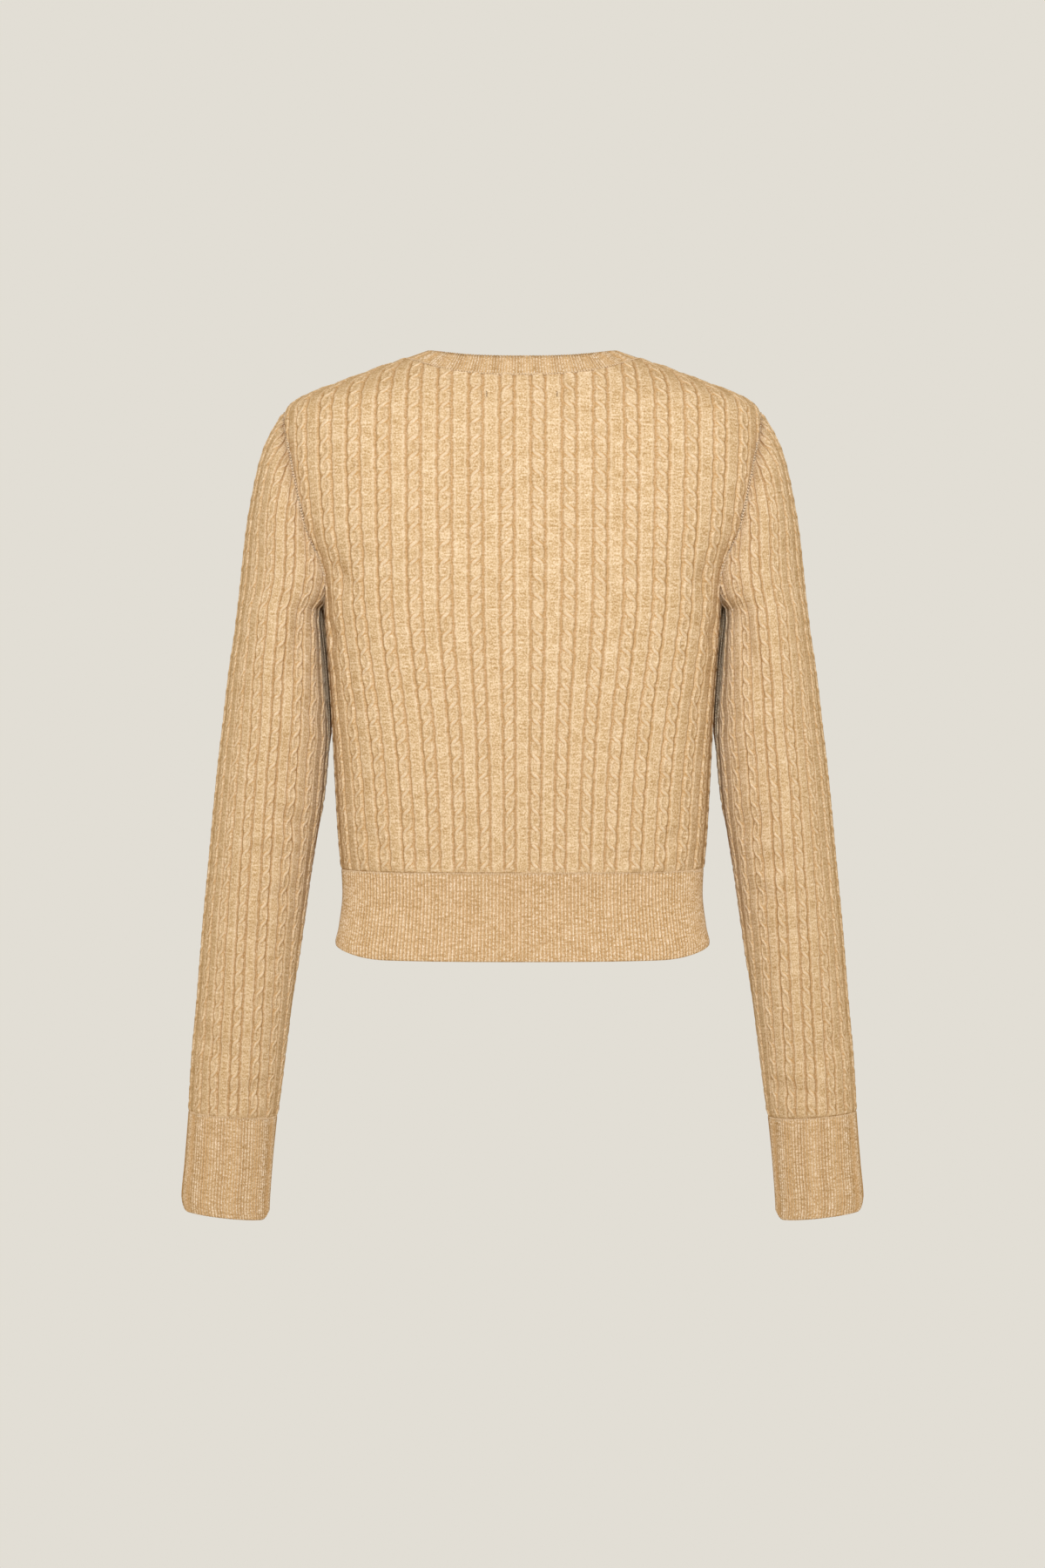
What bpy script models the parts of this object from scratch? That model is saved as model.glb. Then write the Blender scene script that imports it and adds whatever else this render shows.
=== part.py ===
"""Cropped cable-knit cardigan, filled out as worn and fastened down the front.

Metres, +Z up, +X towards the wearer's left, the back faces +Y and the buttons face -Y.
The origin is on the centre plane at the height of the shoulder line.
Every knitted piece is a wall: a fine outer skin with its cables or ribs raised, over a plain inner skin.
"""
import math

import bmesh
import bpy
import numpy as np

MM = 0.001

# Driving dimensions, in metres
WALL = 0.0024
SEAM_GAP = 0.0002          # half of the slot that a seam leaves between two pieces
HEM_SEAM_Z = -0.354
HEM_BOTTOM_Z = -0.417
ARMPIT_Z = -0.160
SHOULDER_POINT_Z = -0.0192
NECK_SIDE_Z = 0.0192
NECK_HALF_WIDTH = 0.085
NECK_BACK_Z = 0.0042
NECK_FRONT_Z = -0.060
NECKBAND_HEIGHT = 0.016
NECK_SLOT = 0.0010         # from the seam line to the neckband, which has straighter runs than the seam
CUFF_SEAM_Z = -0.536
CUFF_BOTTOM_Z = -0.611
BUTTON_BAND_HALF = 0.0125
BAND_TOP_Z = -0.0462       # level with the neckband's upper edge
BUTTON_COUNT = 7
BUTTON_RADIUS = 0.0058
BUTTON_THICKNESS = 0.0026
BODY_REPEATS = 9           # cables from the centre line to the side seam
SLEEVE_PITCH = 0.0155      # from cable to cable round the sleeve
CROSSING_PITCH = 0.0160    # from one crossing of a cable to the next
CABLE_HEIGHT = 0.0015
CROSSING_DIP = 0.0005      # height of a cable where its strands cross
CABLE_HALF = 0.24          # half of a cable's width, as a share of the repeat
RIB_HEIGHT = 0.0005
RIBS_PER_REPEAT = 2
SHOULDER_STEP = 0.020      # spacing of the points where the cloth turns over the shoulder
SHOULDER_TURN_Z = -0.075
ROUNDED_ABOVE_Z = -0.180   # below it the cloth runs straight from one shared row to the next
ROW_CLEARANCE = 0.012      # from a piece's lower edge to its first shared row
FADE_LENGTH = 0.005        # from a piece's edge to where its cables have their full height
CLEAR_OF_EDGE = 0.0008     # nearest that a column's point comes to a side edge
CLEAR_OF_ENDS = 0.0015     # nearest that a column's point comes to a top or bottom edge
EDGE_MARKS_APART = 0.0008
STEP_AT_POINT = 0.003      # spacing of the points along the armhole where it comes to the shoulder point
STEP_ARMHOLE = 0.005
STEP_NECK = 0.005
STEP_SHOULDER = 0.010
STEP_CENTRE = 0.016
STEP_SIDE_SEAM = 0.018
STEP_UNDER_ARM = 0.020
STEP_HEM_EDGE = 0.040
STEP_CUFF_EDGE = 0.080
STEP_NECKBAND = 0.0064
NECK_SIDE_CLEARANCE = 0.0008   # from a button band's edge to the neckband's end
BAND_CLEARANCE = 0.0003    # between a button band and what lies beside it or under it
SHOULDER_REPEAT = 0.0224   # width of a cable repeat at the shoulders
NARROWEST_PANEL_TOP = 0.0022
NARROWEST_SLEEVE_TOP = 0.010

# Sections of the body in millimetres: height, half width, depth behind and in front of the centre plane,
# the power of the rounded section, and the width of a cable repeat at the back and at the front
BODY_SECTIONS = (
    # z,      half,  back, front, power, repeat_back, repeat_front
    (-417.0, 136.4, 87.0, 96.0, 2.45, 18.4, 18.9),
    (-410.0, 136.6, 86.5, 95.5, 2.45, 18.3, 18.8),
    (-397.0, 134.4, 84.0, 93.0, 2.45, 18.1, 18.6),
    (-371.0, 131.5, 80.5, 90.0, 2.45, 17.9, 18.2),
    (-354.0, 132.2, 81.0, 90.5, 2.45, 17.9, 18.3),
    (-330.0, 134.2, 83.0, 92.5, 2.50, 18.0, 18.7),
    (-300.0, 135.9, 85.5, 96.5, 2.55, 18.3, 19.4),
    (-250.0, 138.4, 89.0, 104.0, 2.65, 19.3, 21.0),
    (-192.0, 142.3, 93.0, 111.0, 2.75, 21.3, 22.4),
    (-160.0, 144.6, 94.5, 113.0, 2.80, 22.1, 22.8),
    (-141.0, 146.8, 94.5, 112.0, 2.80, 22.2, 22.8),
    (-128.0, 151.6, 94.0, 110.0, 2.80, 22.2, 22.7),
    (-106.0, 163.6, 92.0, 105.0, 2.80, 22.3, 22.5),
    (-79.0, 170.6, 89.0, 97.0, 2.80, 22.3, 22.4),
    (-56.0, 174.0, 85.0, 87.0, 2.75, 22.4, 22.4),
    (-38.0, 174.9, 80.5, 78.0, 2.70, 22.4, 22.4),
    (-19.2, 172.8, 74.0, 68.0, 2.60, 22.4, 22.4),
    (-10.2, 163.8, 70.5, 63.0, 2.50, 22.4, 22.4),
    (-2.6, 146.5, 67.0, 58.5, 2.40, 22.4, 22.4),
    (5.1, 125.6, 63.0, 53.0, 2.35, 22.4, 22.4),
    (12.8, 105.2, 58.5, 47.0, 2.30, 22.4, 22.4),
    (19.2, 86.0, 54.5, 41.5, 2.25, 22.4, 22.4),
    (26.0, 66.0, 50.0, 35.0, 2.20, 22.4, 22.4),
)

# How far the armhole seam lies behind and in front of the centre plane, in millimetres
ARMHOLE = (
    # z,    behind, in_front
    (-160.0, 0.0, 0.0),
    (-159.0, 13.0, 14.0),
    (-156.0, 22.5, 25.0),
    (-150.0, 31.0, 35.0),
    (-138.0, 38.0, 43.0),
    (-122.0, 41.5, 47.0),
    (-100.0, 43.0, 49.0),
    (-79.0, 41.5, 46.5),
    (-56.0, 36.0, 40.0),
    (-38.0, 26.0, 29.0),
    (-26.0, 14.0, 15.5),
    (-19.2, 0.0, 0.0),
)

# Sleeve outline in millimetres: height, outer edge, inner edge below the armpit, half depth, forward offset
SLEEVE_SECTIONS = (
    # z,      outer, inner, half_depth, forward
    (-611.0, 251.5, 188.5, 31.0, 25.0),
    (-604.0, 252.3, 188.4, 31.3, 24.5),
    (-575.0, 249.8, 186.5, 32.0, 22.5),
    (-536.0, 246.6, 182.5, 34.0, 20.0),
    (-500.0, 244.2, 177.4, 35.5, 17.0),
    (-450.0, 239.5, 170.2, 38.0, 13.0),
    (-400.0, 235.2, 163.0, 40.5, 9.5),
    (-350.0, 230.2, 155.4, 43.0, 6.5),
    (-300.0, 225.3, 146.6, 45.5, 4.0),
    (-275.0, 222.6, 143.9, 46.5, 3.0),
    (-250.0, 219.5, 141.9, 47.5, 2.0),
    (-205.0, 214.0, 144.7, 49.5, 1.0),
    (-180.0, 210.0, 147.0, 50.5, 0.5),
    (-170.0, 208.8, 148.0, 50.8, 0.2),
    (-163.0, 207.9, 147.6, 51.0, 0.0),
    (-160.0, 207.5, 145.4, 51.0, 0.0),
    (-128.0, 204.2, 145.0, 51.5, 0.0),
    (-102.0, 201.0, 145.0, 51.5, 0.0),
    (-77.0, 196.5, 145.0, 49.5, 0.0),
    (-57.0, 192.0, 145.0, 44.0, 0.0),
    (-44.0, 187.8, 145.0, 36.0, 0.0),
    (-33.0, 182.4, 145.0, 26.5, 0.0),
    (-25.5, 177.9, 145.0, 17.5, 0.0),
    (-21.0, 175.0, 145.0, 8.0, 0.0),
    (-19.2, 173.0, 145.0, 1.5, 0.0),
)

# Heights at which both skins of a wall bend, so that the wall keeps its thickness
SHARED_ROWS = [z * MM for z in (-611, -536, -475, -415, -386, -354, -308, -264, -222,
                                -180, -145, -110, -75)]

YARN = (0.72, 0.50, 0.29)
YARN_RIB = (0.66, 0.44, 0.24)
BUTTON_COLOUR = (0.55, 0.36, 0.19)


# Interpolation and grids

def smooth(heights, values, at):
    """A monotone cubic through a table's points, so that it never overshoots a section."""
    heights, values = np.asarray(heights, float), np.asarray(values, float)
    at = np.clip(at, heights[0], heights[-1])
    step = np.diff(heights)
    slope = np.diff(values) / step
    tangent = np.zeros_like(values)
    same = slope[1:] * slope[:-1] > 0
    harmonic = 2 * slope[1:] * slope[:-1] / np.where(same, slope[1:] + slope[:-1], 1.0)
    tangent[1:-1] = np.where(same, harmonic, 0.0)
    tangent[0], tangent[-1] = slope[0], slope[-1]
    place = np.clip(np.searchsorted(heights, at, side="right") - 1, 0, len(step) - 1)
    share = (at - heights[place]) / step[place]
    rise = values[place] * (1 + 2 * share) * (1 - share) ** 2
    rise += values[place + 1] * share ** 2 * (3 - 2 * share)
    rise += tangent[place] * step[place] * share * (1 - share) ** 2
    return rise - tangent[place + 1] * step[place] * share ** 2 * (1 - share)


def column_of(table, index):
    """One column of a table."""
    return np.array([row[index] for row in table], float)


def unit(vectors):
    """Vectors scaled to length one."""
    return vectors / np.maximum(np.linalg.norm(vectors, axis=-1, keepdims=True), 1e-12)


class Skin:
    """A surface given on a grid: rows at rising heights, columns at rising numbers of cable repeats."""

    def __init__(self, heights, repeats, points, outward):
        self.heights, self.repeats, self.points = heights, repeats, points
        along = np.gradient(points, repeats, axis=1)
        up = np.gradient(points, heights, axis=0)
        normal = unit(np.cross(along, up))
        middle = normal[len(heights) // 3, len(repeats) // 2]
        self.normals = normal if np.dot(middle, outward) > 0 else -normal
        rise = np.linalg.norm(np.diff(points, axis=0), axis=2)
        self.run = np.vstack([np.zeros(len(repeats)), np.cumsum(rise, axis=0)])
        self.repeat_width = np.linalg.norm(along, axis=2)

    def read(self, grid, c, z):
        """A grid's value at any column and height."""
        rows, cols = len(self.heights), len(self.repeats)
        row = np.clip(np.interp(z, self.heights, np.arange(rows)), 0, rows - 1.001)
        col = np.clip(np.interp(c, self.repeats, np.arange(cols)), 0, cols - 1.001)
        i, j = row.astype(int), col.astype(int)
        f, g = row - i, col - j
        if grid.ndim == 3:
            f, g = f[..., None], g[..., None]
        low = grid[i, j] * (1 - g) + grid[i, j + 1] * g
        high = grid[i + 1, j] * (1 - g) + grid[i + 1, j + 1] * g
        return low * (1 - f) + high * f

    def at(self, c, z):
        return self.read(self.points, np.asarray(c, float), np.asarray(z, float))

    def normal(self, c, z):
        return unit(self.read(self.normals, np.asarray(c, float), np.asarray(z, float)))

    def distance_up(self, c, z):
        return self.read(self.run, np.asarray(c, float), np.asarray(z, float))

    def width(self, c, z):
        return self.read(self.repeat_width, np.asarray(c, float), np.asarray(z, float))


# The body's surface

SECTION_Z = column_of(BODY_SECTIONS, 0) * MM
SECTION_HALF = column_of(BODY_SECTIONS, 1) * MM
SECTION_DEPTH = {1: column_of(BODY_SECTIONS, 2) * MM, -1: column_of(BODY_SECTIONS, 3) * MM}
SECTION_POWER = column_of(BODY_SECTIONS, 4)
SECTION_REPEAT = {1: column_of(BODY_SECTIONS, 5) * MM, -1: column_of(BODY_SECTIONS, 6) * MM}


def body_section(side, z):
    """Half of the body's section at one height, from the centre line to the side: x, y and arc length."""
    half = float(smooth(SECTION_Z, SECTION_HALF, z))
    depth = float(smooth(SECTION_Z, SECTION_DEPTH[side], z))
    power = float(smooth(SECTION_Z, SECTION_POWER, z))
    angle = np.linspace(0, math.pi / 2, 361)
    x = half * np.sin(angle) ** (2 / power)
    y = depth * np.cos(angle) ** (2 / power)
    y[-1] = 0.0
    arc = np.concatenate([[0], np.cumsum(np.hypot(np.diff(x), np.diff(y)))])
    return x, y, arc


def panel_start(side):
    """Where a panel's first repeat begins: at the centre behind, beside the button band in front."""
    return 0.0 if side > 0 else BUTTON_BAND_HALF + BAND_CLEARANCE


def arc_at(side, c, z, full):
    """Arc length from the centre line to column c, which widens a little towards the side seam."""
    repeat = smooth(SECTION_Z, SECTION_REPEAT[side], z)
    start = panel_start(side)
    spare = full - start - BODY_REPEATS * repeat
    share = np.clip((ARMPIT_Z + 0.032 - z) / 0.032, 0, 1)
    return start + c * repeat + spare * share * (np.maximum(c, 0) / BODY_REPEATS) ** 3


def body_skin(side):
    """The body's surface behind (side 1) or in front (side -1), for the half at +X."""
    rows = [HEM_BOTTOM_Z] + [z for z in SHARED_ROWS if HEM_BOTTOM_Z + 0.003 < z < ROUNDED_ABOVE_Z]
    heights = np.concatenate([rows, np.linspace(ROUNDED_ABOVE_Z, 0.024, 120)])
    repeats = np.arange(-0.8, 11.01, 0.1)
    points = np.zeros((len(heights), len(repeats), 3))
    for row, z in enumerate(heights):
        x, y, arc = body_section(side, z)
        at = arc_at(side, repeats, z, arc[-1])
        past = np.maximum(at - arc[-1], 0)
        mirrored = np.where(at < 0, -1, 1)
        points[row, :, 0] = np.interp(np.abs(at), arc, x) * mirrored
        points[row, :, 1] = side * (np.interp(np.abs(at), arc, y) - past)
        points[row, :, 2] = z
    return Skin(heights, repeats, points, (0, side, 0))


def column_at_arc(side, z, arc_wanted, full):
    """The column that lies at an arc length."""
    columns = np.linspace(-0.8, 11.0, 600)
    return float(np.interp(arc_wanted, arc_at(side, columns, z, full), columns))


def neck_height(side, x):
    """Height of the neck seam at a distance from the centre line."""
    share = np.clip(np.abs(x) / NECK_HALF_WIDTH, 0, 1)
    if side > 0:
        return NECK_BACK_Z + (NECK_SIDE_Z - NECK_BACK_Z) * share ** 2.6
    return NECK_FRONT_Z + (NECK_SIDE_Z - NECK_FRONT_Z) * (1 - (1 - share ** 2.3) ** (1 / 2.3))


def panel_edges(side):
    """Columns of a panel's inner edge (neck) and outer edge (side, armhole, shoulder) at each height."""
    seam = NECK_BACK_Z if side > 0 else NECK_FRONT_Z
    heights = np.concatenate([np.linspace(HEM_BOTTOM_Z, seam - 0.0005, 600),
                              seam + (NECK_SIDE_Z - seam) * np.linspace(0, 1, 400) ** 2])
    low, high = np.zeros_like(heights), np.zeros_like(heights)
    arm_z = column_of(ARMHOLE, 0) * MM
    arm_y = column_of(ARMHOLE, 1 if side > 0 else 2) * MM
    for k, z in enumerate(heights):
        x, y, arc = body_section(side, z)
        if z <= ARMPIT_Z:
            high[k] = BODY_REPEATS
        elif z < SHOULDER_POINT_Z:
            behind = float(smooth(arm_z, arm_y, z))
            high[k] = column_at_arc(side, z, np.interp(-behind, -y, arc), arc[-1])
        else:
            high[k] = column_at_arc(side, z, arc[-1], arc[-1])
        inside = neck_height(side, x) < z
        if inside.any():
            count = int(inside.sum())
            edge = np.interp(z, neck_height(side, x[:count + 1]), arc[:count + 1])
            low[k] = max(0.0, column_at_arc(side, z, edge, arc[-1]))
    return heights, low, high


# The sleeve's surface, for the sleeve at +X

def sleeve_row(z):
    """One level of the sleeve: points from its top line back round to its seam, and the same in front."""
    table_z = column_of(SLEEVE_SECTIONS, 0) * MM
    outer, inner, depth, forward = (
        float(smooth(table_z, column_of(SLEEVE_SECTIONS, k) * MM, z)) for k in (1, 2, 3, 4))
    halves = []
    for side in (1, -1):
        if z < ARMPIT_Z:
            seam_x, seam_y = inner, 0.0
        else:
            behind = float(smooth(column_of(ARMHOLE, 0) * MM,
                                  column_of(ARMHOLE, 1 if side > 0 else 2) * MM, z))
            x, y, _ = body_section(side, z)
            seam_x, seam_y = float(np.interp(-behind, -y, x)), behind
        reach = max(depth, seam_y + 0.0012)
        end = math.pi - math.asin(min(seam_y / reach, 1.0))
        half_width = (outer - seam_x) / (1 - math.cos(end))
        angle = np.linspace(0, end, 181)
        x = outer - half_width * (1 - np.cos(angle))
        y = side * reach * np.sin(angle) - forward
        arc = np.concatenate([[0], np.cumsum(np.hypot(np.diff(x), np.diff(y)))])
        halves.append((x, y, arc))
    return halves


def sleeve_skin():
    """The sleeve's surface. Columns count repeats from the top line, positive behind."""
    rows = [z for z in SHARED_ROWS if z < ROUNDED_ABOVE_Z]
    low = np.arange(ROUNDED_ABOVE_Z, -0.05, 0.002)
    heights = np.concatenate([rows, low, np.linspace(-0.05, SHOULDER_POINT_Z - 0.0003, 46)])
    repeats = np.arange(-12.0, 12.01, 0.1)
    points = np.zeros((len(heights), len(repeats), 3))
    edges = np.zeros((len(heights), 2))
    for row, z in enumerate(heights):
        for side, (x, y, arc) in zip((1, -1), sleeve_row(z)):
            chosen = repeats >= 0 if side > 0 else repeats < 0
            at = np.abs(repeats[chosen]) * SLEEVE_PITCH
            past = np.maximum(at - arc[-1], 0)
            direction = unit(np.array([x[-1] - x[-2], y[-1] - y[-2]]))
            points[row, chosen, 0] = np.interp(at, arc, x) + past * direction[0]
            points[row, chosen, 1] = np.interp(at, arc, y) + past * direction[1]
            edges[row, 0 if side > 0 else 1] = arc[-1] / SLEEVE_PITCH
        points[row, :, 2] = z
    skin = Skin(heights, repeats, points, (1, 0, 0))
    return skin, heights, -edges[:, 1], edges[:, 0]


# Walls: columns of points on a skin, cut off at the piece's edges and joined strip by strip

class Outline:
    """A piece's edges on its skin: lowest and highest height, and a lowest and highest column at each."""

    def __init__(self, skin, heights, low, high, bottom, top, edge_step, mitres=None,
                 halved_below=None, flat_ends=True):
        self.skin, self.heights, self.bottom, self.top = skin, heights, bottom, top
        self.edge_step = edge_step
        self.halved_below = halved_below
        self.flat_ends = flat_ends
        self.low = self.drawn_in(low, 1)
        self.high = self.drawn_in(high, -1)
        if halved_below is not None:
            self.low = np.where(heights <= halved_below, 0.0, self.low)
        self.mitres = mitres or {}

    def drawn_in(self, edge, sign):
        """The edge moved into the piece by half a seam's slot, measured square to the edge."""
        width = np.maximum(self.skin.width(edge, self.heights), 0.002)
        here = self.skin.at(edge, self.heights)
        move = np.gradient(here, self.heights, axis=0)
        along = unit(np.gradient(self.skin.points, self.skin.repeats, axis=1))
        along = self.skin.read(along, edge, self.heights)
        slant = np.linalg.norm(move, axis=1)
        level = np.abs(np.einsum("ij,ij->i", move, along))
        rise = np.sqrt(np.maximum(slant ** 2 - level ** 2, 1e-6))
        return edge + sign * SEAM_GAP * np.minimum(slant / rise, 6.0) / width

    def clamp(self, c, z):
        return np.clip(c, np.interp(z, self.heights, self.low), np.interp(z, self.heights, self.high))

    def edge_heights(self, which):
        """Heights along an edge, evenly spaced by its length."""
        edge = self.low if which == "low" else self.high
        last_row = min(self.top, ROUNDED_ABOVE_Z + 0.001)
        rows = [z for z in SHARED_ROWS if self.bottom + ROW_CLEARANCE < z < last_row]
        start = rows[-1] if rows else self.bottom
        fine = np.linspace(start, self.top, 1500)
        points = self.skin.at(np.interp(fine, self.heights, edge), fine)
        run = np.concatenate([[0], np.cumsum(np.linalg.norm(np.diff(points, axis=0), axis=1))])
        near = self.edge_step(which, fine)
        count = np.concatenate([[0], np.cumsum(np.diff(run) / ((near[1:] + near[:-1]) / 2))])
        marks = np.interp(np.linspace(0, count[-1], max(1, int(round(count[-1]))) + 1), count, fine)
        if rows:
            marks = np.concatenate([[self.bottom], rows[:-1], marks])
        if which == "low" and self.halved_below is not None and self.halved_below < self.top:
            marks = marks[np.abs(marks - self.halved_below) > 0.001]
            marks = np.sort(np.append(marks, self.halved_below))
        return marks


def crossings(outline, column_z, column_c, edge):
    """Heights at which a column crosses an edge."""
    fine = np.arange(outline.bottom, outline.top, 0.0004)
    gap = np.interp(fine, column_z, column_c) - np.interp(fine, outline.heights, edge)
    turn = np.nonzero(gap[1:] * gap[:-1] < 0)[0]
    return [float(fine[k] + 0.0004 * gap[k] / (gap[k] - gap[k + 1])) for k in turn]


def join_columns(first, second, faces):
    """Triangles between two columns of (height, vertex) that may share vertices."""
    i = j = 0
    while i < len(first) - 1 or j < len(second) - 1:
        here, there = first[i][1], second[j][1]
        both = i < len(first) - 1 and j < len(second) - 1
        if both and first[i + 1][1] == second[j + 1][1]:
            corners = (here, there, first[i + 1][1])
            i, j = i + 1, j + 1
        elif j == len(second) - 1 or (i < len(first) - 1 and first[i + 1][0] <= second[j + 1][0]):
            corners = (here, there, first[i + 1][1])
            i += 1
        else:
            corners = (here, there, second[j + 1][1])
            j += 1
        if len(set(corners)) == 3:
            faces.append(corners)


def skin_mesh(outline, columns, depth, points, faces):
    """One skin of a wall, a depth under the surface. Columns are (heights, columns, raised) arrays."""
    skin = outline.skin
    edges = {}
    for which, edge in (("low", outline.low), ("high", outline.high)):
        marks = list(outline.edge_heights(which))
        ends = (marks[0], marks[-1], outline.halved_below)
        for column_z, column_c, _ in columns:
            for z in crossings(outline, column_z, column_c, edge):
                marks = [m for m in marks if abs(m - z) > EDGE_MARKS_APART or m in ends]
                if all(abs(m - z) > 0.0003 for m in marks):
                    marks.append(z)
        marks = np.array(sorted(marks))
        at = np.interp(marks, outline.heights, edge)
        mitre = outline.mitres.get(which)
        down = skin.normal(at, marks) if mitre is None else mitre(marks)
        flat_ends = down.copy()
        flat_ends[[0, -1], 2] = 0 if mitre is None else flat_ends[[0, -1], 2]
        place = skin.at(at, marks) - depth * unit(flat_ends)
        first = len(points)
        points.extend(map(tuple, place))
        edges[which] = [(float(z), first + k) for k, z in enumerate(marks)]
    laid = [edges["low"]]
    for column_z, column_c, raised in columns:
        low = np.interp(column_z, outline.heights, outline.low)
        high = np.interp(column_z, outline.heights, outline.high)
        width = np.maximum(skin.width(column_c, column_z), 0.004)
        room = np.minimum(column_c - low, high - column_c) * width
        ends = np.minimum(column_z - outline.bottom, outline.top - column_z)
        ends_room = skin.distance_up(column_c, column_z)
        up_room = np.minimum(ends_room - skin.distance_up(column_c, np.full_like(column_z, outline.bottom)),
                             skin.distance_up(column_c, np.full_like(column_z, outline.top)) - ends_room)
        at_end = ends < 1e-6
        keep = (room > CLEAR_OF_EDGE) & (at_end | (up_room > CLEAR_OF_ENDS))
        if outline.halved_below is not None:
            room = np.where(column_z < outline.halved_below, high - column_c, room / width) * width
        fade = np.clip(room / FADE_LENGTH, 0, 1)
        if outline.flat_ends:
            fade = np.minimum(fade, np.clip(np.where(at_end, 0, up_room) / FADE_LENGTH, 0, 1))
        normal = skin.normal(column_c, column_z)
        normal[at_end, 2] = 0
        place = skin.at(column_c, column_z) + unit(normal) * (raised * fade - depth)[:, None]
        chain = []
        for k in np.nonzero(keep)[0]:
            chain.append((float(column_z[k]), len(points)))
            points.append(tuple(place[k]))
        for which, sign, edge in (("low", -1, outline.low), ("high", 1, outline.high)):
            for z, vertex in edges[which]:
                beyond = sign * (np.interp(z, column_z, column_c) - np.interp(z, outline.heights, edge))
                if beyond > -1e-3:
                    chain.append((z, vertex))
        laid.append(sorted(chain))
    laid.append(edges["high"])
    for first, second in zip(laid[:-1], laid[1:]):
        join_columns(first, second, faces)
    return laid


def rim(outer, inner, faces):
    """Triangles that join the edges of the two skins, each edge a list of (place along it, vertex)."""
    for first, second in zip(outer, inner):
        join_columns(first, second, faces)


def edge_runs(outline, laid, columns_at):
    """The four edges of a skin as lists of (place along the edge, vertex)."""
    bottom = [(columns_at(k, outline.bottom), column[0][1]) for k, column in enumerate(laid)]
    top = [(columns_at(k, outline.top), column[-1][1]) for k, column in enumerate(laid)]
    runs = []
    for run in (bottom, top):
        clean = []
        for place, vertex in run:
            if not clean or clean[-1][1] != vertex:
                clean.append((place, vertex))
        runs.append(clean)
    return [laid[0], laid[-1], runs[0], runs[1]]


def wall_mesh(outline, outer_columns, inner_columns):
    """Points and triangles of a knitted wall."""
    points, faces, runs = [], [], []
    for columns, depth in ((outer_columns, 0.0), (inner_columns, WALL)):
        laid = skin_mesh(outline, columns, depth, points, faces)

        def columns_at(k, z, columns=columns):
            if k == 0:
                return float(np.interp(z, outline.heights, outline.low))
            if k == len(columns) + 1:
                return float(np.interp(z, outline.heights, outline.high))
            column_z, column_c, _ = columns[k - 1]
            return float(outline.clamp(np.interp(z, column_z, column_c), z))

        runs.append(edge_runs(outline, laid, columns_at))
    if outline.halved_below is not None:
        for run in runs:
            run[0] = [mark for mark in run[0] if mark[0] >= outline.halved_below - 1e-9]
    rim(runs[0], runs[1], faces)
    return points, faces


def column_heights(skin, c, bottom, top):
    """Heights of a plain column's points: on the shared rows, and closer where the cloth turns."""
    rows = [z for z in SHARED_ROWS if bottom + ROW_CLEARANCE < z < min(top, SHOULDER_TURN_Z)]
    last = rows[-1] if rows else bottom
    fine = np.linspace(last, top, 300)
    run = skin.distance_up(np.full_like(fine, c), fine)
    count = max(1, int(round((run[-1] - run[0]) / SHOULDER_STEP))) if top > SHOULDER_TURN_Z else 1
    above = np.interp(np.linspace(run[0], run[-1], count + 1), run, fine)
    return np.array([bottom] + rows + list(above[1:]))


def straight_column(skin, c, bottom, top):
    heights = column_heights(skin, c, bottom, top)
    return heights, np.full_like(heights, c), np.zeros_like(heights)


def cable_columns(skin, centre, bottom, top):
    """A cable as three columns: a groove each side, and a crest that dips at every crossing."""
    fine = np.linspace(bottom, top, 700)
    run = skin.distance_up(np.full_like(fine, centre), fine)
    run -= run[0]
    halves = max(2, int(run[-1] / (CROSSING_PITCH / 2)))
    marks = np.append(np.arange(halves) * CROSSING_PITCH / 2, run[-1])
    raised = np.where(np.arange(halves + 1) % 2 == 0, CROSSING_DIP, CABLE_HEIGHT)
    crest = (np.interp(marks, run, fine), np.full(halves + 1, centre), raised)
    grooves = [straight_column(skin, centre + offset, bottom, top) for offset in (-CABLE_HALF, CABLE_HALF)]
    return [grooves[0], crest, grooves[1]]


# Objects

def material(name, colour, roughness):
    made = bpy.data.materials.new(name)
    made.use_nodes = True
    shader = made.node_tree.nodes["Principled BSDF"]
    shader.inputs["Base Color"].default_value = (*colour, 1.0)
    shader.inputs["Roughness"].default_value = roughness
    return made


def solid(name, points, faces, colour, mirrored=False, roughness=0.9):
    """A named object from points and triangles, mirrored to -X if asked, with its faces pointing out."""
    place = np.array(points)
    if mirrored:
        place = place * np.array([-1.0, 1.0, 1.0])
    mesh = bpy.data.meshes.new(name)
    mesh.from_pydata(place.tolist(), [], faces)
    shaped = bmesh.new()
    shaped.from_mesh(mesh)
    loose = [v for v in shaped.verts if not v.link_faces]
    bmesh.ops.delete(shaped, geom=loose, context="VERTS")
    bmesh.ops.recalc_face_normals(shaped, faces=shaped.faces)
    if shaped.calc_volume(signed=True) < 0:
        bmesh.ops.reverse_faces(shaped, faces=shaped.faces)
    shaped.to_mesh(mesh)
    shaped.free()
    made = bpy.data.objects.new(name, mesh)
    made.data.materials.append(material(name, colour, roughness))
    bpy.context.scene.collection.objects.link(made)
    return made


def clear_scene():
    for old in list(bpy.data.objects):
        bpy.data.objects.remove(old)


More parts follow.
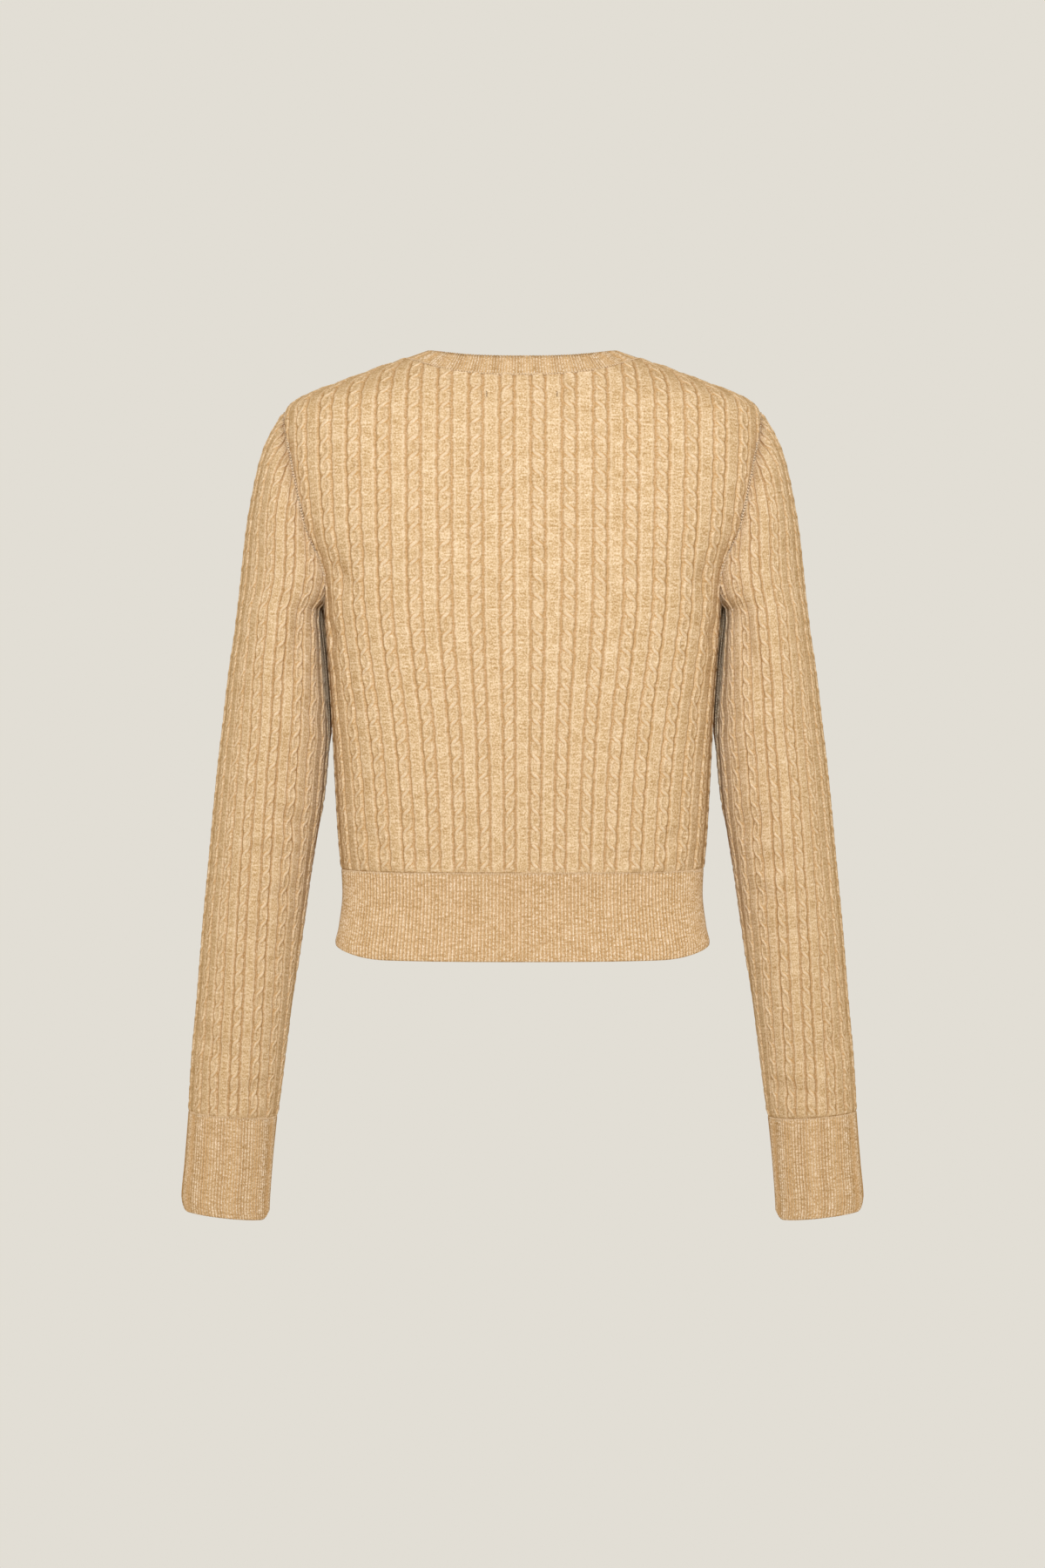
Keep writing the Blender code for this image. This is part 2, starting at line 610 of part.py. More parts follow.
def armhole_mitre(body, body_edge, sleeve, sleeve_edge):
    """Directions in which both walls of the armhole seam are cut, by height."""
    heights = np.linspace(ARMPIT_Z, SHOULDER_POINT_Z - 0.0003, 300)
    from_body = body.normal(np.interp(heights, *body_edge), heights)
    from_sleeve = sleeve.normal(np.interp(heights, *sleeve_edge), heights)
    shared = unit(from_body + from_sleeve)

    def toward(z, fallback):
        inside = (z > ARMPIT_Z + 0.0005) & (z < SHOULDER_POINT_Z)
        found = unit(np.stack([np.interp(z, heights, shared[:, k]) for k in range(3)], axis=1))
        return np.where(inside[:, None], found, fallback(z))

    return toward


def armhole_step(z):
    """Spacing of the points along the armhole, closer where it comes to the shoulder point."""
    return np.where(z > SHOULDER_POINT_Z - 0.012, STEP_AT_POINT, STEP_ARMHOLE)


def make_body_panels(back, front, sleeve, sleeve_edges):
    """The back and the two fronts, between their seams."""
    made = {}
    for side, skin in ((1, back), (-1, front)):
        heights, low, high = panel_edges(side)
        sleeve_edge = (sleeve_edges[0], sleeve_edges[2] if side > 0 else sleeve_edges[1])
        mitre = armhole_mitre(skin, (heights, high), sleeve, sleeve_edge)

        def high_mitre(z, mitre=mitre, skin=skin, heights=heights, high=high):
            def plain(at):
                normal = skin.normal(np.interp(at, heights, high), at)
                normal[:, 1] = 0
                return unit(normal)
            return mitre(z, plain)

        def low_mitre(z, skin=skin, heights=heights, low=low, side=side):
            normal = skin.normal(np.interp(z, heights, low), z)
            flat = z < (NECK_FRONT_Z if side < 0 else NECK_BACK_Z)
            normal[flat, 0] = 0
            return unit(normal)

        def step(which, z, side=side):
            if which == "low":
                seam = NECK_FRONT_Z if side < 0 else NECK_BACK_Z
                return np.where(z > seam - 0.002, STEP_NECK, STEP_CENTRE)
            above = np.where(z > SHOULDER_POINT_Z, STEP_SHOULDER, armhole_step(z))
            return np.where(z > ARMPIT_Z - 0.004, above, STEP_SIDE_SEAM)

        room = (high - low) * SHOULDER_REPEAT
        top = float(heights[np.nonzero(room > NARROWEST_PANEL_TOP)[0][-1]])
        outline = Outline(skin, heights, low, high, HEM_SEAM_Z + SEAM_GAP, top, step,
                          {"low": low_mitre, "high": high_mitre},
                          halved_below=NECK_BACK_Z - 0.0005 if side > 0 else None)
        cables = []
        for k in range(BODY_REPEATS + 1):
            cables += cable_columns(skin, k + 0.5, outline.bottom, outline.top)
        plain = [straight_column(skin, c, outline.bottom, outline.top)
                 for c in (1.5, 3.0, 4.5, 5.7, 6.5, 7.2, 7.9, 8.5, 9.2, 9.8)]
        made[side] = wall_mesh(outline, cables, plain)
    return made


def join_halves(points, faces, centre_tolerance=1e-7):
    """A half piece joined to its mirror image along the centre plane."""
    place = np.array(points)
    count = len(points)
    on_plane = np.abs(place[:, 0]) < centre_tolerance
    other = np.where(on_plane, np.arange(count), np.arange(count) + count)
    both = list(map(tuple, place)) + list(map(tuple, place * np.array([-1.0, 1.0, 1.0])))
    return both, list(faces) + [tuple(int(other[v]) for v in face[::-1]) for face in faces]


def make_hem_ribs(back, front):
    """The ribbed welt under the back and under the fronts."""
    made = {}
    heights = np.linspace(HEM_BOTTOM_Z, HEM_SEAM_Z, 60)
    for side, skin in ((1, back), (-1, front)):
        low, high = np.zeros_like(heights), np.full_like(heights, BODY_REPEATS)

        def flat(z, skin=skin, column=0.0, axis=0):
            normal = skin.normal(np.full_like(z, column), z)
            normal[:, axis] = 0
            return unit(normal)

        mitres = {"low": flat, "high": lambda z, flat=flat: flat(z, column=BODY_REPEATS, axis=1)}
        outline = Outline(skin, heights, low, high, HEM_BOTTOM_Z, HEM_SEAM_Z - SEAM_GAP,
                          lambda which, z: np.full_like(z, STEP_HEM_EDGE), mitres,
                          halved_below=HEM_SEAM_Z if side > 0 else None, flat_ends=False)
        plain = [straight_column(skin, c, outline.bottom, outline.top)
                 for c in np.arange(1.0, BODY_REPEATS - 0.2, 0.8)]
        made[side] = wall_mesh(outline, rib_columns(skin, 0.0, BODY_REPEATS, outline), plain)
    return made


def rib_columns(skin, first, last, outline):
    """Ribs as columns that are raised and level in turn."""
    columns = []
    for k in range(int(math.ceil((last - first) * RIBS_PER_REPEAT * 2))):
        c = first + (k + 0.5) / (RIBS_PER_REPEAT * 2)
        heights = column_heights(skin, c, outline.bottom, outline.top)
        raised = RIB_HEIGHT if k % 2 == 0 else 0.0
        columns.append((heights, np.full_like(heights, c), np.full_like(heights, raised)))
    return columns


def make_sleeve(skin, heights, low, high, body):
    """The sleeve and its cuff. Their edges meet in one seam under the arm."""
    body_edges = {}
    for side, body_skin_here in body.items():
        edge_z, _, edge_high = panel_edges(side)
        body_edges[side] = armhole_mitre(body_skin_here, (edge_z, edge_high), skin,
                                         (heights, high if side > 0 else low))

    def under_arm(z):
        normal = skin.normal(np.interp(z, heights, high), z)
        normal[:, 1] = 0
        return unit(normal)

    mitres = {"low": lambda z: body_edges[-1](z, under_arm), "high": lambda z: body_edges[1](z, under_arm)}

    def step(which, z):
        return np.where(z > ARMPIT_Z - 0.004, armhole_step(z), STEP_UNDER_ARM)

    room = (high - low) * SLEEVE_PITCH
    top = float(heights[np.nonzero(room > NARROWEST_SLEEVE_TOP)[0][-1]])
    sleeve = Outline(skin, heights, low, high, CUFF_SEAM_Z + SEAM_GAP, top, step, mitres)
    most = int(max(high.max(), -low.min())) + 1
    cables = []
    for k in range(-most, most):
        cables += cable_columns(skin, k + 0.5, sleeve.bottom, sleeve.top)
    plain = [straight_column(skin, c, sleeve.bottom, sleeve.top)
             for c in np.arange(-most, most + 0.1, 1.0)]
    cuff = Outline(skin, heights, low, high, CUFF_BOTTOM_Z, CUFF_SEAM_Z - SEAM_GAP,
                   lambda which, z: np.full_like(z, STEP_CUFF_EDGE), mitres, flat_ends=False)
    edge = float(np.interp(CUFF_SEAM_Z, heights, high))
    ribs = rib_columns(skin, -round(edge), round(edge) + 0.01, cuff)
    cuff_plain = [straight_column(skin, c, cuff.bottom, cuff.top)
                  for c in np.arange(-6.0, 6.1, 0.75)]
    return wall_mesh(sleeve, cables, plain), wall_mesh(cuff, ribs, cuff_plain)


# Neckband, button bands and buttons

BAND_Z = np.linspace(HEM_BOTTOM_Z, BAND_TOP_Z, 11)


def neck_seam():
    """Points of the neck seam, from the front edge at +X round the back to the one at -X."""
    line = []
    for side in (-1, 1):
        start = BUTTON_BAND_HALF + NECK_SIDE_CLEARANCE if side < 0 else 0.0
        angle = np.linspace(math.asin((start / NECK_HALF_WIDTH) ** 1.15), math.pi / 2, 70)
        across = NECK_HALF_WIDTH * np.sin(angle) ** (1 / 1.15)
        half = []
        for x in across:
            z = float(neck_height(side, x))
            xs, ys, _ = body_section(side, z)
            y = float(np.interp(x, xs, ys))
            half.append((x, side * y, z))
        line.append(half)
    right_way = line[0] + line[1][-2::-1]
    both = [p for p in right_way] + [(-x, y, z) for x, y, z in right_way[-2::-1]]
    return np.array(both)


def resample(line, spacing):
    run = np.concatenate([[0], np.cumsum(np.linalg.norm(np.diff(line, axis=0), axis=1))])
    at = np.linspace(0, run[-1], 2 * int(round(run[-1] / spacing / 2)) + 1)
    return np.stack([np.interp(at, run, line[:, k]) for k in range(3)], axis=1)


def body_normals(line, back, front):
    normals = []
    for x, y, z in line:
        side = 1 if y > 0 else -1
        skin = back if side > 0 else front
        xs, ys, arc = body_section(side, z)
        at = float(np.interp(abs(x), xs, arc))
        c = column_at_arc(side, z, at, arc[-1])
        normal = skin.normal(np.array([c]), np.array([z]))[0]
        normals.append(normal * np.array([math.copysign(1.0, x) if abs(x) > 1e-9 else 0.0, 1.0, 1.0]))
    normals = np.array(normals)
    for _ in range(12):
        normals[1:-1] = unit(normals[:-2] + 2 * normals[1:-1] + normals[2:])
    return unit(normals)


def strip_solid(rings):
    """A closed solid from rings of points: a tube of quads with a cap at each end."""
    rings = np.array(rings)
    count, size = rings.shape[:2]
    points = [tuple(p) for ring in rings for p in ring]
    faces = []
    for k in range(count - 1):
        for j in range(size):
            a, b = k * size + j, k * size + (j + 1) % size
            faces += [(a, b, b + size), (a, b + size, a + size)]
    return points, faces


def close_ends(points, faces, count, outer, inner):
    """Caps on a strip whose rings hold an outer run of points and an inner run going back."""
    for first in (0, (count - 1) * (outer + inner)):
        front_run = [(float(k) / (outer - 1), first + k) for k in range(outer)]
        back_run = [(float(k) / (inner - 1), first + outer + inner - 1 - k) for k in range(inner)]
        join_columns(front_run, back_run, faces)


def make_neckband(back, front):
    seam = resample(neck_seam(), STEP_NECKBAND)
    normals = body_normals(seam, back, front)
    along = unit(np.gradient(seam, axis=0))
    up = unit(np.cross(along, normals))
    up = np.where(up[:, 2:3] < 0, -up, up)
    for _ in range(6):
        up[1:-1] = unit(up[:-2] + 2 * up[1:-1] + up[2:])
    from_end = np.abs(seam[:, 0]) - BUTTON_BAND_HALF
    up[:, 0] *= np.where(seam[:, 1] < 0, np.clip(from_end / 0.03, 0, 1), 1)
    up = unit(up)
    rings = []
    for k, (point, normal, rise) in enumerate(zip(seam, normals, up)):
        raised = RIB_HEIGHT if k % 2 else 0.0
        low, high = point + rise * NECK_SLOT, point + rise * NECKBAND_HEIGHT
        outer = [low + normal * raised, high + normal * raised]
        rings.append(outer + [high - normal * WALL, low - normal * WALL])
    points, faces = strip_solid(rings)
    close_ends(points, faces, len(rings), 2, 2)
    return points, faces


def centre_front(z):
    """The centre front line at one height, and the cloth's normal there."""
    depth = float(np.interp(z, BAND_Z, smooth(SECTION_Z, SECTION_DEPTH[-1], BAND_Z)))
    step = 0.002
    rise = (float(smooth(SECTION_Z, SECTION_DEPTH[-1], z + step))
            - float(smooth(SECTION_Z, SECTION_DEPTH[-1], z - step))) / (2 * step)
    normal = np.array([0.0, -1.0, -rise])
    return depth, normal / np.linalg.norm(normal)


def make_button_band(lift):
    """A ribbed strip up the centre front, lifted off the fronts' level by a distance."""
    ribs = 4
    across = np.linspace(-BUTTON_BAND_HALF, BUTTON_BAND_HALF, 2 * ribs + 1)
    rings = []
    for z in BAND_Z:
        _, normal = centre_front(z)
        if z in (BAND_Z[0], BAND_Z[-1]):
            normal = np.array([0.0, -1.0, 0.0])
        xs, ys, _ = body_section(-1, z)
        outer, inner = [], []
        for k, x in enumerate(across):
            base = np.array([x, -float(np.interp(abs(x), xs, ys)), z])
            raised = RIB_HEIGHT if k % 2 else 0.0
            outer.append(base + normal * (lift + raised))
            if k in (0, ribs, 2 * ribs):
                inner.append(base + normal * (lift - WALL))
        rings.append(outer + inner[::-1])
    points, faces = strip_solid(rings)
    close_ends(points, faces, len(rings), len(across), 3)
    return points, faces


def button_heights():
    top, bottom = BAND_TOP_Z - 0.0095, HEM_BOTTOM_Z + 0.011
    return np.linspace(top, bottom, BUTTON_COUNT)


def make_button(name, z, lift):
    """A turned button, flat against the band, with a raised rim round a sunk middle."""
    profile = ((0.0, 0.0), (BUTTON_RADIUS - 0.0004, 0.0), (BUTTON_RADIUS, 0.0016),
               (BUTTON_RADIUS - 0.0008, BUTTON_THICKNESS),
               (BUTTON_RADIUS - 0.0022, BUTTON_THICKNESS - 0.0006), (0.0, BUTTON_THICKNESS - 0.0006))
    sides = 10
    depth, normal = centre_front(z)
    centre = np.array([0.0, -depth, z]) + normal * lift
    right = np.array([1.0, 0.0, 0.0])
    upward = np.cross(normal, right)
    points, faces = [], []
    for radius, height in profile:
        if radius == 0.0:
            points.append(tuple(centre + normal * height))
            continue
        for k in range(sides):
            turn = 2 * math.pi * k / sides
            spoke = right * math.cos(turn) + upward * math.sin(turn)
            points.append(tuple(centre + spoke * radius + normal * height))
    last = len(points) - 1
    for k in range(sides):
        follow = (k + 1) % sides
        faces.append((0, 1 + k, 1 + follow))
        for ring in range(len(profile) - 3):
            a, b = 1 + ring * sides + k, 1 + ring * sides + follow
            faces += [(a, b, b + sides), (a, b + sides, a + sides)]
        rim_start = 1 + (len(profile) - 3) * sides
        faces.append((rim_start + k, rim_start + follow, last))
    solid(name, points, faces, BUTTON_COLOUR, roughness=0.35)


def build_cardigan():
    clear_scene()
    back, front = body_skin(1), body_skin(-1)
    sleeve, sleeve_z, sleeve_low, sleeve_high = sleeve_skin()
    panels = make_body_panels(back, front, sleeve, (sleeve_z, sleeve_low, sleeve_high))
    solid("back", *join_halves(*panels[1]), YARN)
    solid("front_left", *panels[-1], YARN)
    solid("front_right", *panels[-1], YARN, mirrored=True)
    hems = make_hem_ribs(back, front)
    solid("hem_rib_back", *join_halves(*hems[1]), YARN_RIB)
    solid("hem_rib_front_left", *hems[-1], YARN_RIB)
    solid("hem_rib_front_right", *hems[-1], YARN_RIB, mirrored=True)
    arm, cuff = make_sleeve(sleeve, sleeve_z, sleeve_low, sleeve_high, {1: back, -1: front})
    for label, mirrored in (("left", False), ("right", True)):
        solid(f"sleeve_{label}", *arm, YARN, mirrored=mirrored)
        solid(f"cuff_{label}", *cuff, YARN_RIB, mirrored=mirrored)
    solid("neckband", *make_neckband(back, front), YARN_RIB)
    solid("band_left", *make_button_band(0.0), YARN_RIB)
    over = WALL + RIB_HEIGHT + BAND_CLEARANCE
    solid("band_right", *make_button_band(over), YARN_RIB)
    for k, z in enumerate(button_heights()):
        make_button(f"button_{k + 1}", float(z), over + RIB_HEIGHT + BAND_CLEARANCE)


build_cardigan()
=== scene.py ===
"""Cropped cable-knit cardigan, filled out as worn. Metres, +Z up, the buttons face -Y."""
import math
from functools import partialmethod

import bmesh
import bpy
import numpy as np
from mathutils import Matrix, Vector


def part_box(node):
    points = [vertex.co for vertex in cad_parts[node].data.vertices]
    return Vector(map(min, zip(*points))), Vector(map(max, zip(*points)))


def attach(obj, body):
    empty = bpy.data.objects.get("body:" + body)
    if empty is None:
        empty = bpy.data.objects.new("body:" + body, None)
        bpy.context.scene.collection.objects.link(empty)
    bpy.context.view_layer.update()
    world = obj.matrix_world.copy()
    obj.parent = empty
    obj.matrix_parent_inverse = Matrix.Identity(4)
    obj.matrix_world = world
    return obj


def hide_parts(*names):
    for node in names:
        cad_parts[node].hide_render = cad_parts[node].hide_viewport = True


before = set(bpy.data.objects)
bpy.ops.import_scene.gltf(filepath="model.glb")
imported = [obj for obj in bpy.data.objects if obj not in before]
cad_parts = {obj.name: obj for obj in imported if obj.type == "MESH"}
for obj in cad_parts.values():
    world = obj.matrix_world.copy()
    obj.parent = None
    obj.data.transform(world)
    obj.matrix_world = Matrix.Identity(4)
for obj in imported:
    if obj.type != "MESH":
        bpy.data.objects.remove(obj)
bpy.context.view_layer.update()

# ---- Back panel ----
# One panel of fine heathered wool knit, shaped at the waist, armholes, shoulders and neck, with
# eighteen two-strand cables that run up it between plain strips. It is linked to the other pieces.
CLOTH = 0.0024
SEAM_GAP = 0.0003
EDGE_GAP = 0.0001
HEM_SEAM_Z = -0.354
HEM_BOTTOM_Z = -0.417
ARMPIT_Z = -0.160
SHOULDER_POINT_Z = -0.0192
BODY_TOP_Z = 0.024
NECK_HALF_WIDTH = 0.085
NECK_SIDE_Z = 0.0192
BAND_HALF = 0.0125
BODY_REPEATS = 9
COLUMN_RANGE = (-0.8, 11.0)
COLUMN_STEP = 0.1
SIDE_SPREAD_HEIGHT = 0.032
PANEL_TIP_Z = (-0.02, 0.021)
LEAST_PANEL_WIDTH = 0.1
KNIT_STEP = 0.0016
STITCHES_IN_REPEAT = 14
STITCH_WIDTH = 0.00145
STITCH_HEIGHT = 0.00125

# Side 1 is behind and side -1 in front, here and below: the neck's lowest point and how round it is
NECK_LOW_Z = {1: 0.0042, -1: -0.060}
NECK_POWER = {1: 2.6, -1: 2.3}

# Sections of the body in millimetres: height, half width, depth behind and in front of the centre
# plane, the power of the rounded section, and the width of a cable repeat behind and in front
BODY_SECTIONS = (
    (-417.0, 136.4, 87.0, 96.0, 2.45, 18.4, 18.9),
    (-410.0, 136.6, 86.5, 95.5, 2.45, 18.3, 18.8),
    (-397.0, 134.4, 84.0, 93.0, 2.45, 18.1, 18.6),
    (-371.0, 131.5, 80.5, 90.0, 2.45, 17.9, 18.2),
    (-354.0, 132.2, 81.0, 90.5, 2.45, 17.9, 18.3),
    (-330.0, 134.2, 83.0, 92.5, 2.50, 18.0, 18.7),
    (-300.0, 135.9, 85.5, 96.5, 2.55, 18.3, 19.4),
    (-250.0, 138.4, 89.0, 104.0, 2.65, 19.3, 21.0),
    (-192.0, 142.3, 93.0, 111.0, 2.75, 21.3, 22.4),
    (-160.0, 144.6, 94.5, 113.0, 2.80, 22.1, 22.8),
    (-141.0, 146.8, 94.5, 112.0, 2.80, 22.2, 22.8),
    (-128.0, 151.6, 94.0, 110.0, 2.80, 22.2, 22.7),
    (-106.0, 163.6, 92.0, 105.0, 2.80, 22.3, 22.5),
    (-79.0, 170.6, 89.0, 97.0, 2.80, 22.3, 22.4),
    (-56.0, 174.0, 85.0, 87.0, 2.75, 22.4, 22.4),
    (-38.0, 174.9, 80.5, 78.0, 2.70, 22.4, 22.4),
    (-19.2, 172.8, 74.0, 68.0, 2.60, 22.4, 22.4),
    (-10.2, 163.8, 70.5, 63.0, 2.50, 22.4, 22.4),
    (-2.6, 146.5, 67.0, 58.5, 2.40, 22.4, 22.4),
    (5.1, 125.6, 63.0, 53.0, 2.35, 22.4, 22.4),
    (12.8, 105.2, 58.5, 47.0, 2.30, 22.4, 22.4),
    (19.2, 86.0, 54.5, 41.5, 2.25, 22.4, 22.4),
    (26.0, 66.0, 50.0, 35.0, 2.20, 22.4, 22.4),
)
# How far the armhole seam lies behind and in front of the centre plane, in millimetres
ARMHOLE = (
    (-160.0, 0.0, 0.0),
    (-159.0, 13.0, 14.0),
    (-156.0, 22.5, 25.0),
    (-150.0, 31.0, 35.0),
    (-138.0, 38.0, 43.0),
    (-122.0, 41.5, 47.0),
    (-100.0, 43.0, 49.0),
    (-79.0, 41.5, 46.5),
    (-56.0, 36.0, 40.0),
    (-38.0, 26.0, 29.0),
    (-26.0, 14.0, 15.5),
    (-19.2, 0.0, 0.0),
)


def smooth(heights, values, at):
    """A monotone cubic through a table's points, so that it never overshoots a section."""
    at = np.clip(at, heights[0], heights[-1])
    step = np.diff(heights)
    slope = np.diff(values) / step
    before, after = slope[:-1], slope[1:]
    same = after * before > 0
    tangent = np.zeros_like(values)
    tangent[1:-1] = np.where(same, 2 * after * before / np.where(same, after + before, 1), 0)
    tangent[0], tangent[-1] = slope[0], slope[-1]
    place = np.clip(np.searchsorted(heights, at, side="right") - 1, 0, len(step) - 1)
    share = (at - heights[place]) / step[place]
    low, high = values[place], values[place + 1]
    rise = low * (1 + 2 * share) * (1 - share) ** 2 + high * share ** 2 * (3 - 2 * share)
    turn = tangent[place] * (1 - share) - tangent[place + 1] * share
    return rise + turn * step[place] * share * (1 - share)


def from_table(table, column, z):
    """A table's column of millimetres at a height, in metres."""
    rows = np.array(table, float)
    return smooth(rows[:, 0] * 0.001, rows[:, column] * 0.001, z)


def length_along(x, y):
    """How far along a line of points each point lies."""
    return np.concatenate([[0], np.cumsum(np.hypot(np.diff(x), np.diff(y)))])


def body_section(side, z):
    """Half of the body's section at a height, from the centre line round to the side."""
    half = float(from_table(BODY_SECTIONS, 1, z))
    depth = float(from_table(BODY_SECTIONS, 2 if side > 0 else 3, z))
    power = 1000 * float(from_table(BODY_SECTIONS, 4, z))
    angle = np.linspace(0, math.pi / 2, 361)
    x, y = half * np.sin(angle) ** (2 / power), depth * np.cos(angle) ** (2 / power)
    y[-1] = 0.0
    return x, y, length_along(x, y)


def length_round(side, repeats, z, full):
    """Distance round the body of a column, counted in cable repeats from the centre."""
    repeat = from_table(BODY_SECTIONS, 5 if side > 0 else 6, z)
    start = 0.0 if side > 0 else BAND_HALF + SEAM_GAP
    spare = full - start - BODY_REPEATS * repeat
    share = np.clip((ARMPIT_Z + SIDE_SPREAD_HEIGHT - z) / SIDE_SPREAD_HEIGHT, 0, 1)
    return start + repeats * repeat + spare * share * (np.maximum(repeats, 0) / BODY_REPEATS) ** 3


def column_there(side, z, distance, full):
    """The column that lies at a distance round the body."""
    columns = np.linspace(*COLUMN_RANGE, 600)
    return float(np.interp(distance, length_round(side, columns, z, full), columns))


def neck_seam_height(side, x):
    """The neck seam's height at a distance from the centre line: shallow behind, round in front."""
    share, power = np.clip(np.abs(x) / NECK_HALF_WIDTH, 0, 1), NECK_POWER[side]
    rise = share ** power if side > 0 else 1 - (1 - share ** power) ** (1 / power)
    return NECK_LOW_Z[side] + (NECK_SIDE_Z - NECK_LOW_Z[side]) * rise


def unit(vectors):
    return vectors / np.maximum(np.linalg.norm(vectors, axis=-1, keepdims=True), 1e-12)


class Surface:
    """A smooth surface of the garment: rows at rising heights, columns counted in cable repeats."""

    def __init__(self, heights, columns, points, outward):
        self.heights, self.columns, self.points, self.facing = heights, columns, points, outward
        along = np.gradient(points, columns, axis=1)
        normal = unit(np.cross(along, np.gradient(points, heights, axis=0)))
        centre = normal[len(heights) // 3, len(columns) // 2]
        self.normals = normal if np.dot(centre, outward) > 0 else -normal
        rise = np.linalg.norm(np.diff(points, axis=0), axis=2)
        self.run = np.vstack([np.zeros(len(columns)), np.cumsum(rise, axis=0)])
        self.width = np.linalg.norm(along, axis=2)

    def read(self, grid, c, z):
        """A grid's value at any column and height."""
        def between(value, marks):
            spot = np.clip(np.interp(value, marks, np.arange(len(marks))), 0, len(marks) - 1.001)
            return spot.astype(int), spot - spot.astype(int)

        c, z = np.broadcast_arrays(np.asarray(c, float), np.asarray(z, float))
        (i, f), (j, g) = between(z, self.heights), between(c, self.columns)
        if grid.ndim == 3:
            f, g = f[..., None], g[..., None]
        low = grid[i, j] * (1 - g) + grid[i, j + 1] * g
        return low * (1 - f) + (grid[i + 1, j] * (1 - g) + grid[i + 1, j + 1] * g) * f


def body_surface(side):
    """The whole back or front half of the body, a little past its centre line and its side."""
    heights = np.linspace(HEM_BOTTOM_Z, BODY_TOP_Z, 300)
    columns = np.arange(COLUMN_RANGE[0], COLUMN_RANGE[1] + 0.01, COLUMN_STEP)
    points = np.zeros((len(heights), len(columns), 3))
    for row, z in zip(points, heights):
        x, y, arc = body_section(side, z)
        at = length_round(side, columns, z, arc[-1])
        row[:, 0] = np.interp(np.abs(at), arc, x) * np.where(at < 0, -1, 1)
        row[:, 1] = side * (np.interp(np.abs(at), arc, y) - np.maximum(at - arc[-1], 0))
        row[:, 2] = z
    return Surface(heights, columns, points, (0, side, 0))


def panel_edges(side, heights):
    """Columns of a panel's neck edge and of its side, armhole and shoulder edge."""
    low, high = np.zeros_like(heights), np.full_like(heights, float(BODY_REPEATS))
    for k, z in enumerate(heights):
        x, y, arc = body_section(side, z)
        if z > SHOULDER_POINT_Z:
            high[k] = column_there(side, z, arc[-1], arc[-1])
        elif z > ARMPIT_Z:
            reach = float(from_table(ARMHOLE, 1 if side > 0 else 2, z))
            high[k] = column_there(side, z, np.interp(-reach, -y, arc), arc[-1])
        inside = int((neck_seam_height(side, x) < z).sum())
        if inside:
            seam = neck_seam_height(side, x[:inside + 1])
            edge = np.interp(z, seam, arc[:inside + 1])
            low[k] = max(0.0, column_there(side, z, edge, arc[-1]))
    return low, high


def even_heights(surface, column, bottom, top, step):
    """Heights that are evenly spaced along the cloth at one column."""
    fine = np.linspace(bottom, top, 3000)
    run = surface.read(surface.run, column, fine)
    count = int(round((run[-1] - run[0]) / step))
    return np.interp(np.linspace(run[0], run[-1], count + 1), run, fine)


def zip_edges(first, second, faces):
    """Triangles between two edges, each a list of (place along it, vertex)."""
    i = j = 0
    while i < len(first) - 1 or j < len(second) - 1:
        first_next = i < len(first) - 1 and (
            j == len(second) - 1 or first[i + 1][0] <= second[j + 1][0])
        after = first[i + 1][1] if first_next else second[j + 1][1]
        corners = (first[i][1], second[j][1], after)
        i, j = (i + 1, j) if first_next else (i, j + 1)
        if len(set(corners)) == 3:
            faces.append(corners)


def outer_to_inner(points, mark, inner):
    """The inner edge's point that lies under an outer one."""
    here = np.array(points[mark[1]])
    distance = [float(np.linalg.norm(np.array(points[other[1]]) - here)) for other in inner]
    return mark[0], inner[int(np.argmin(distance))][1]


def placed(name, data):
    """An object of a mesh, lamp or camera in the scene."""
    made = bpy.data.objects.new(name, data)
    bpy.context.scene.collection.objects.link(made)
    return made


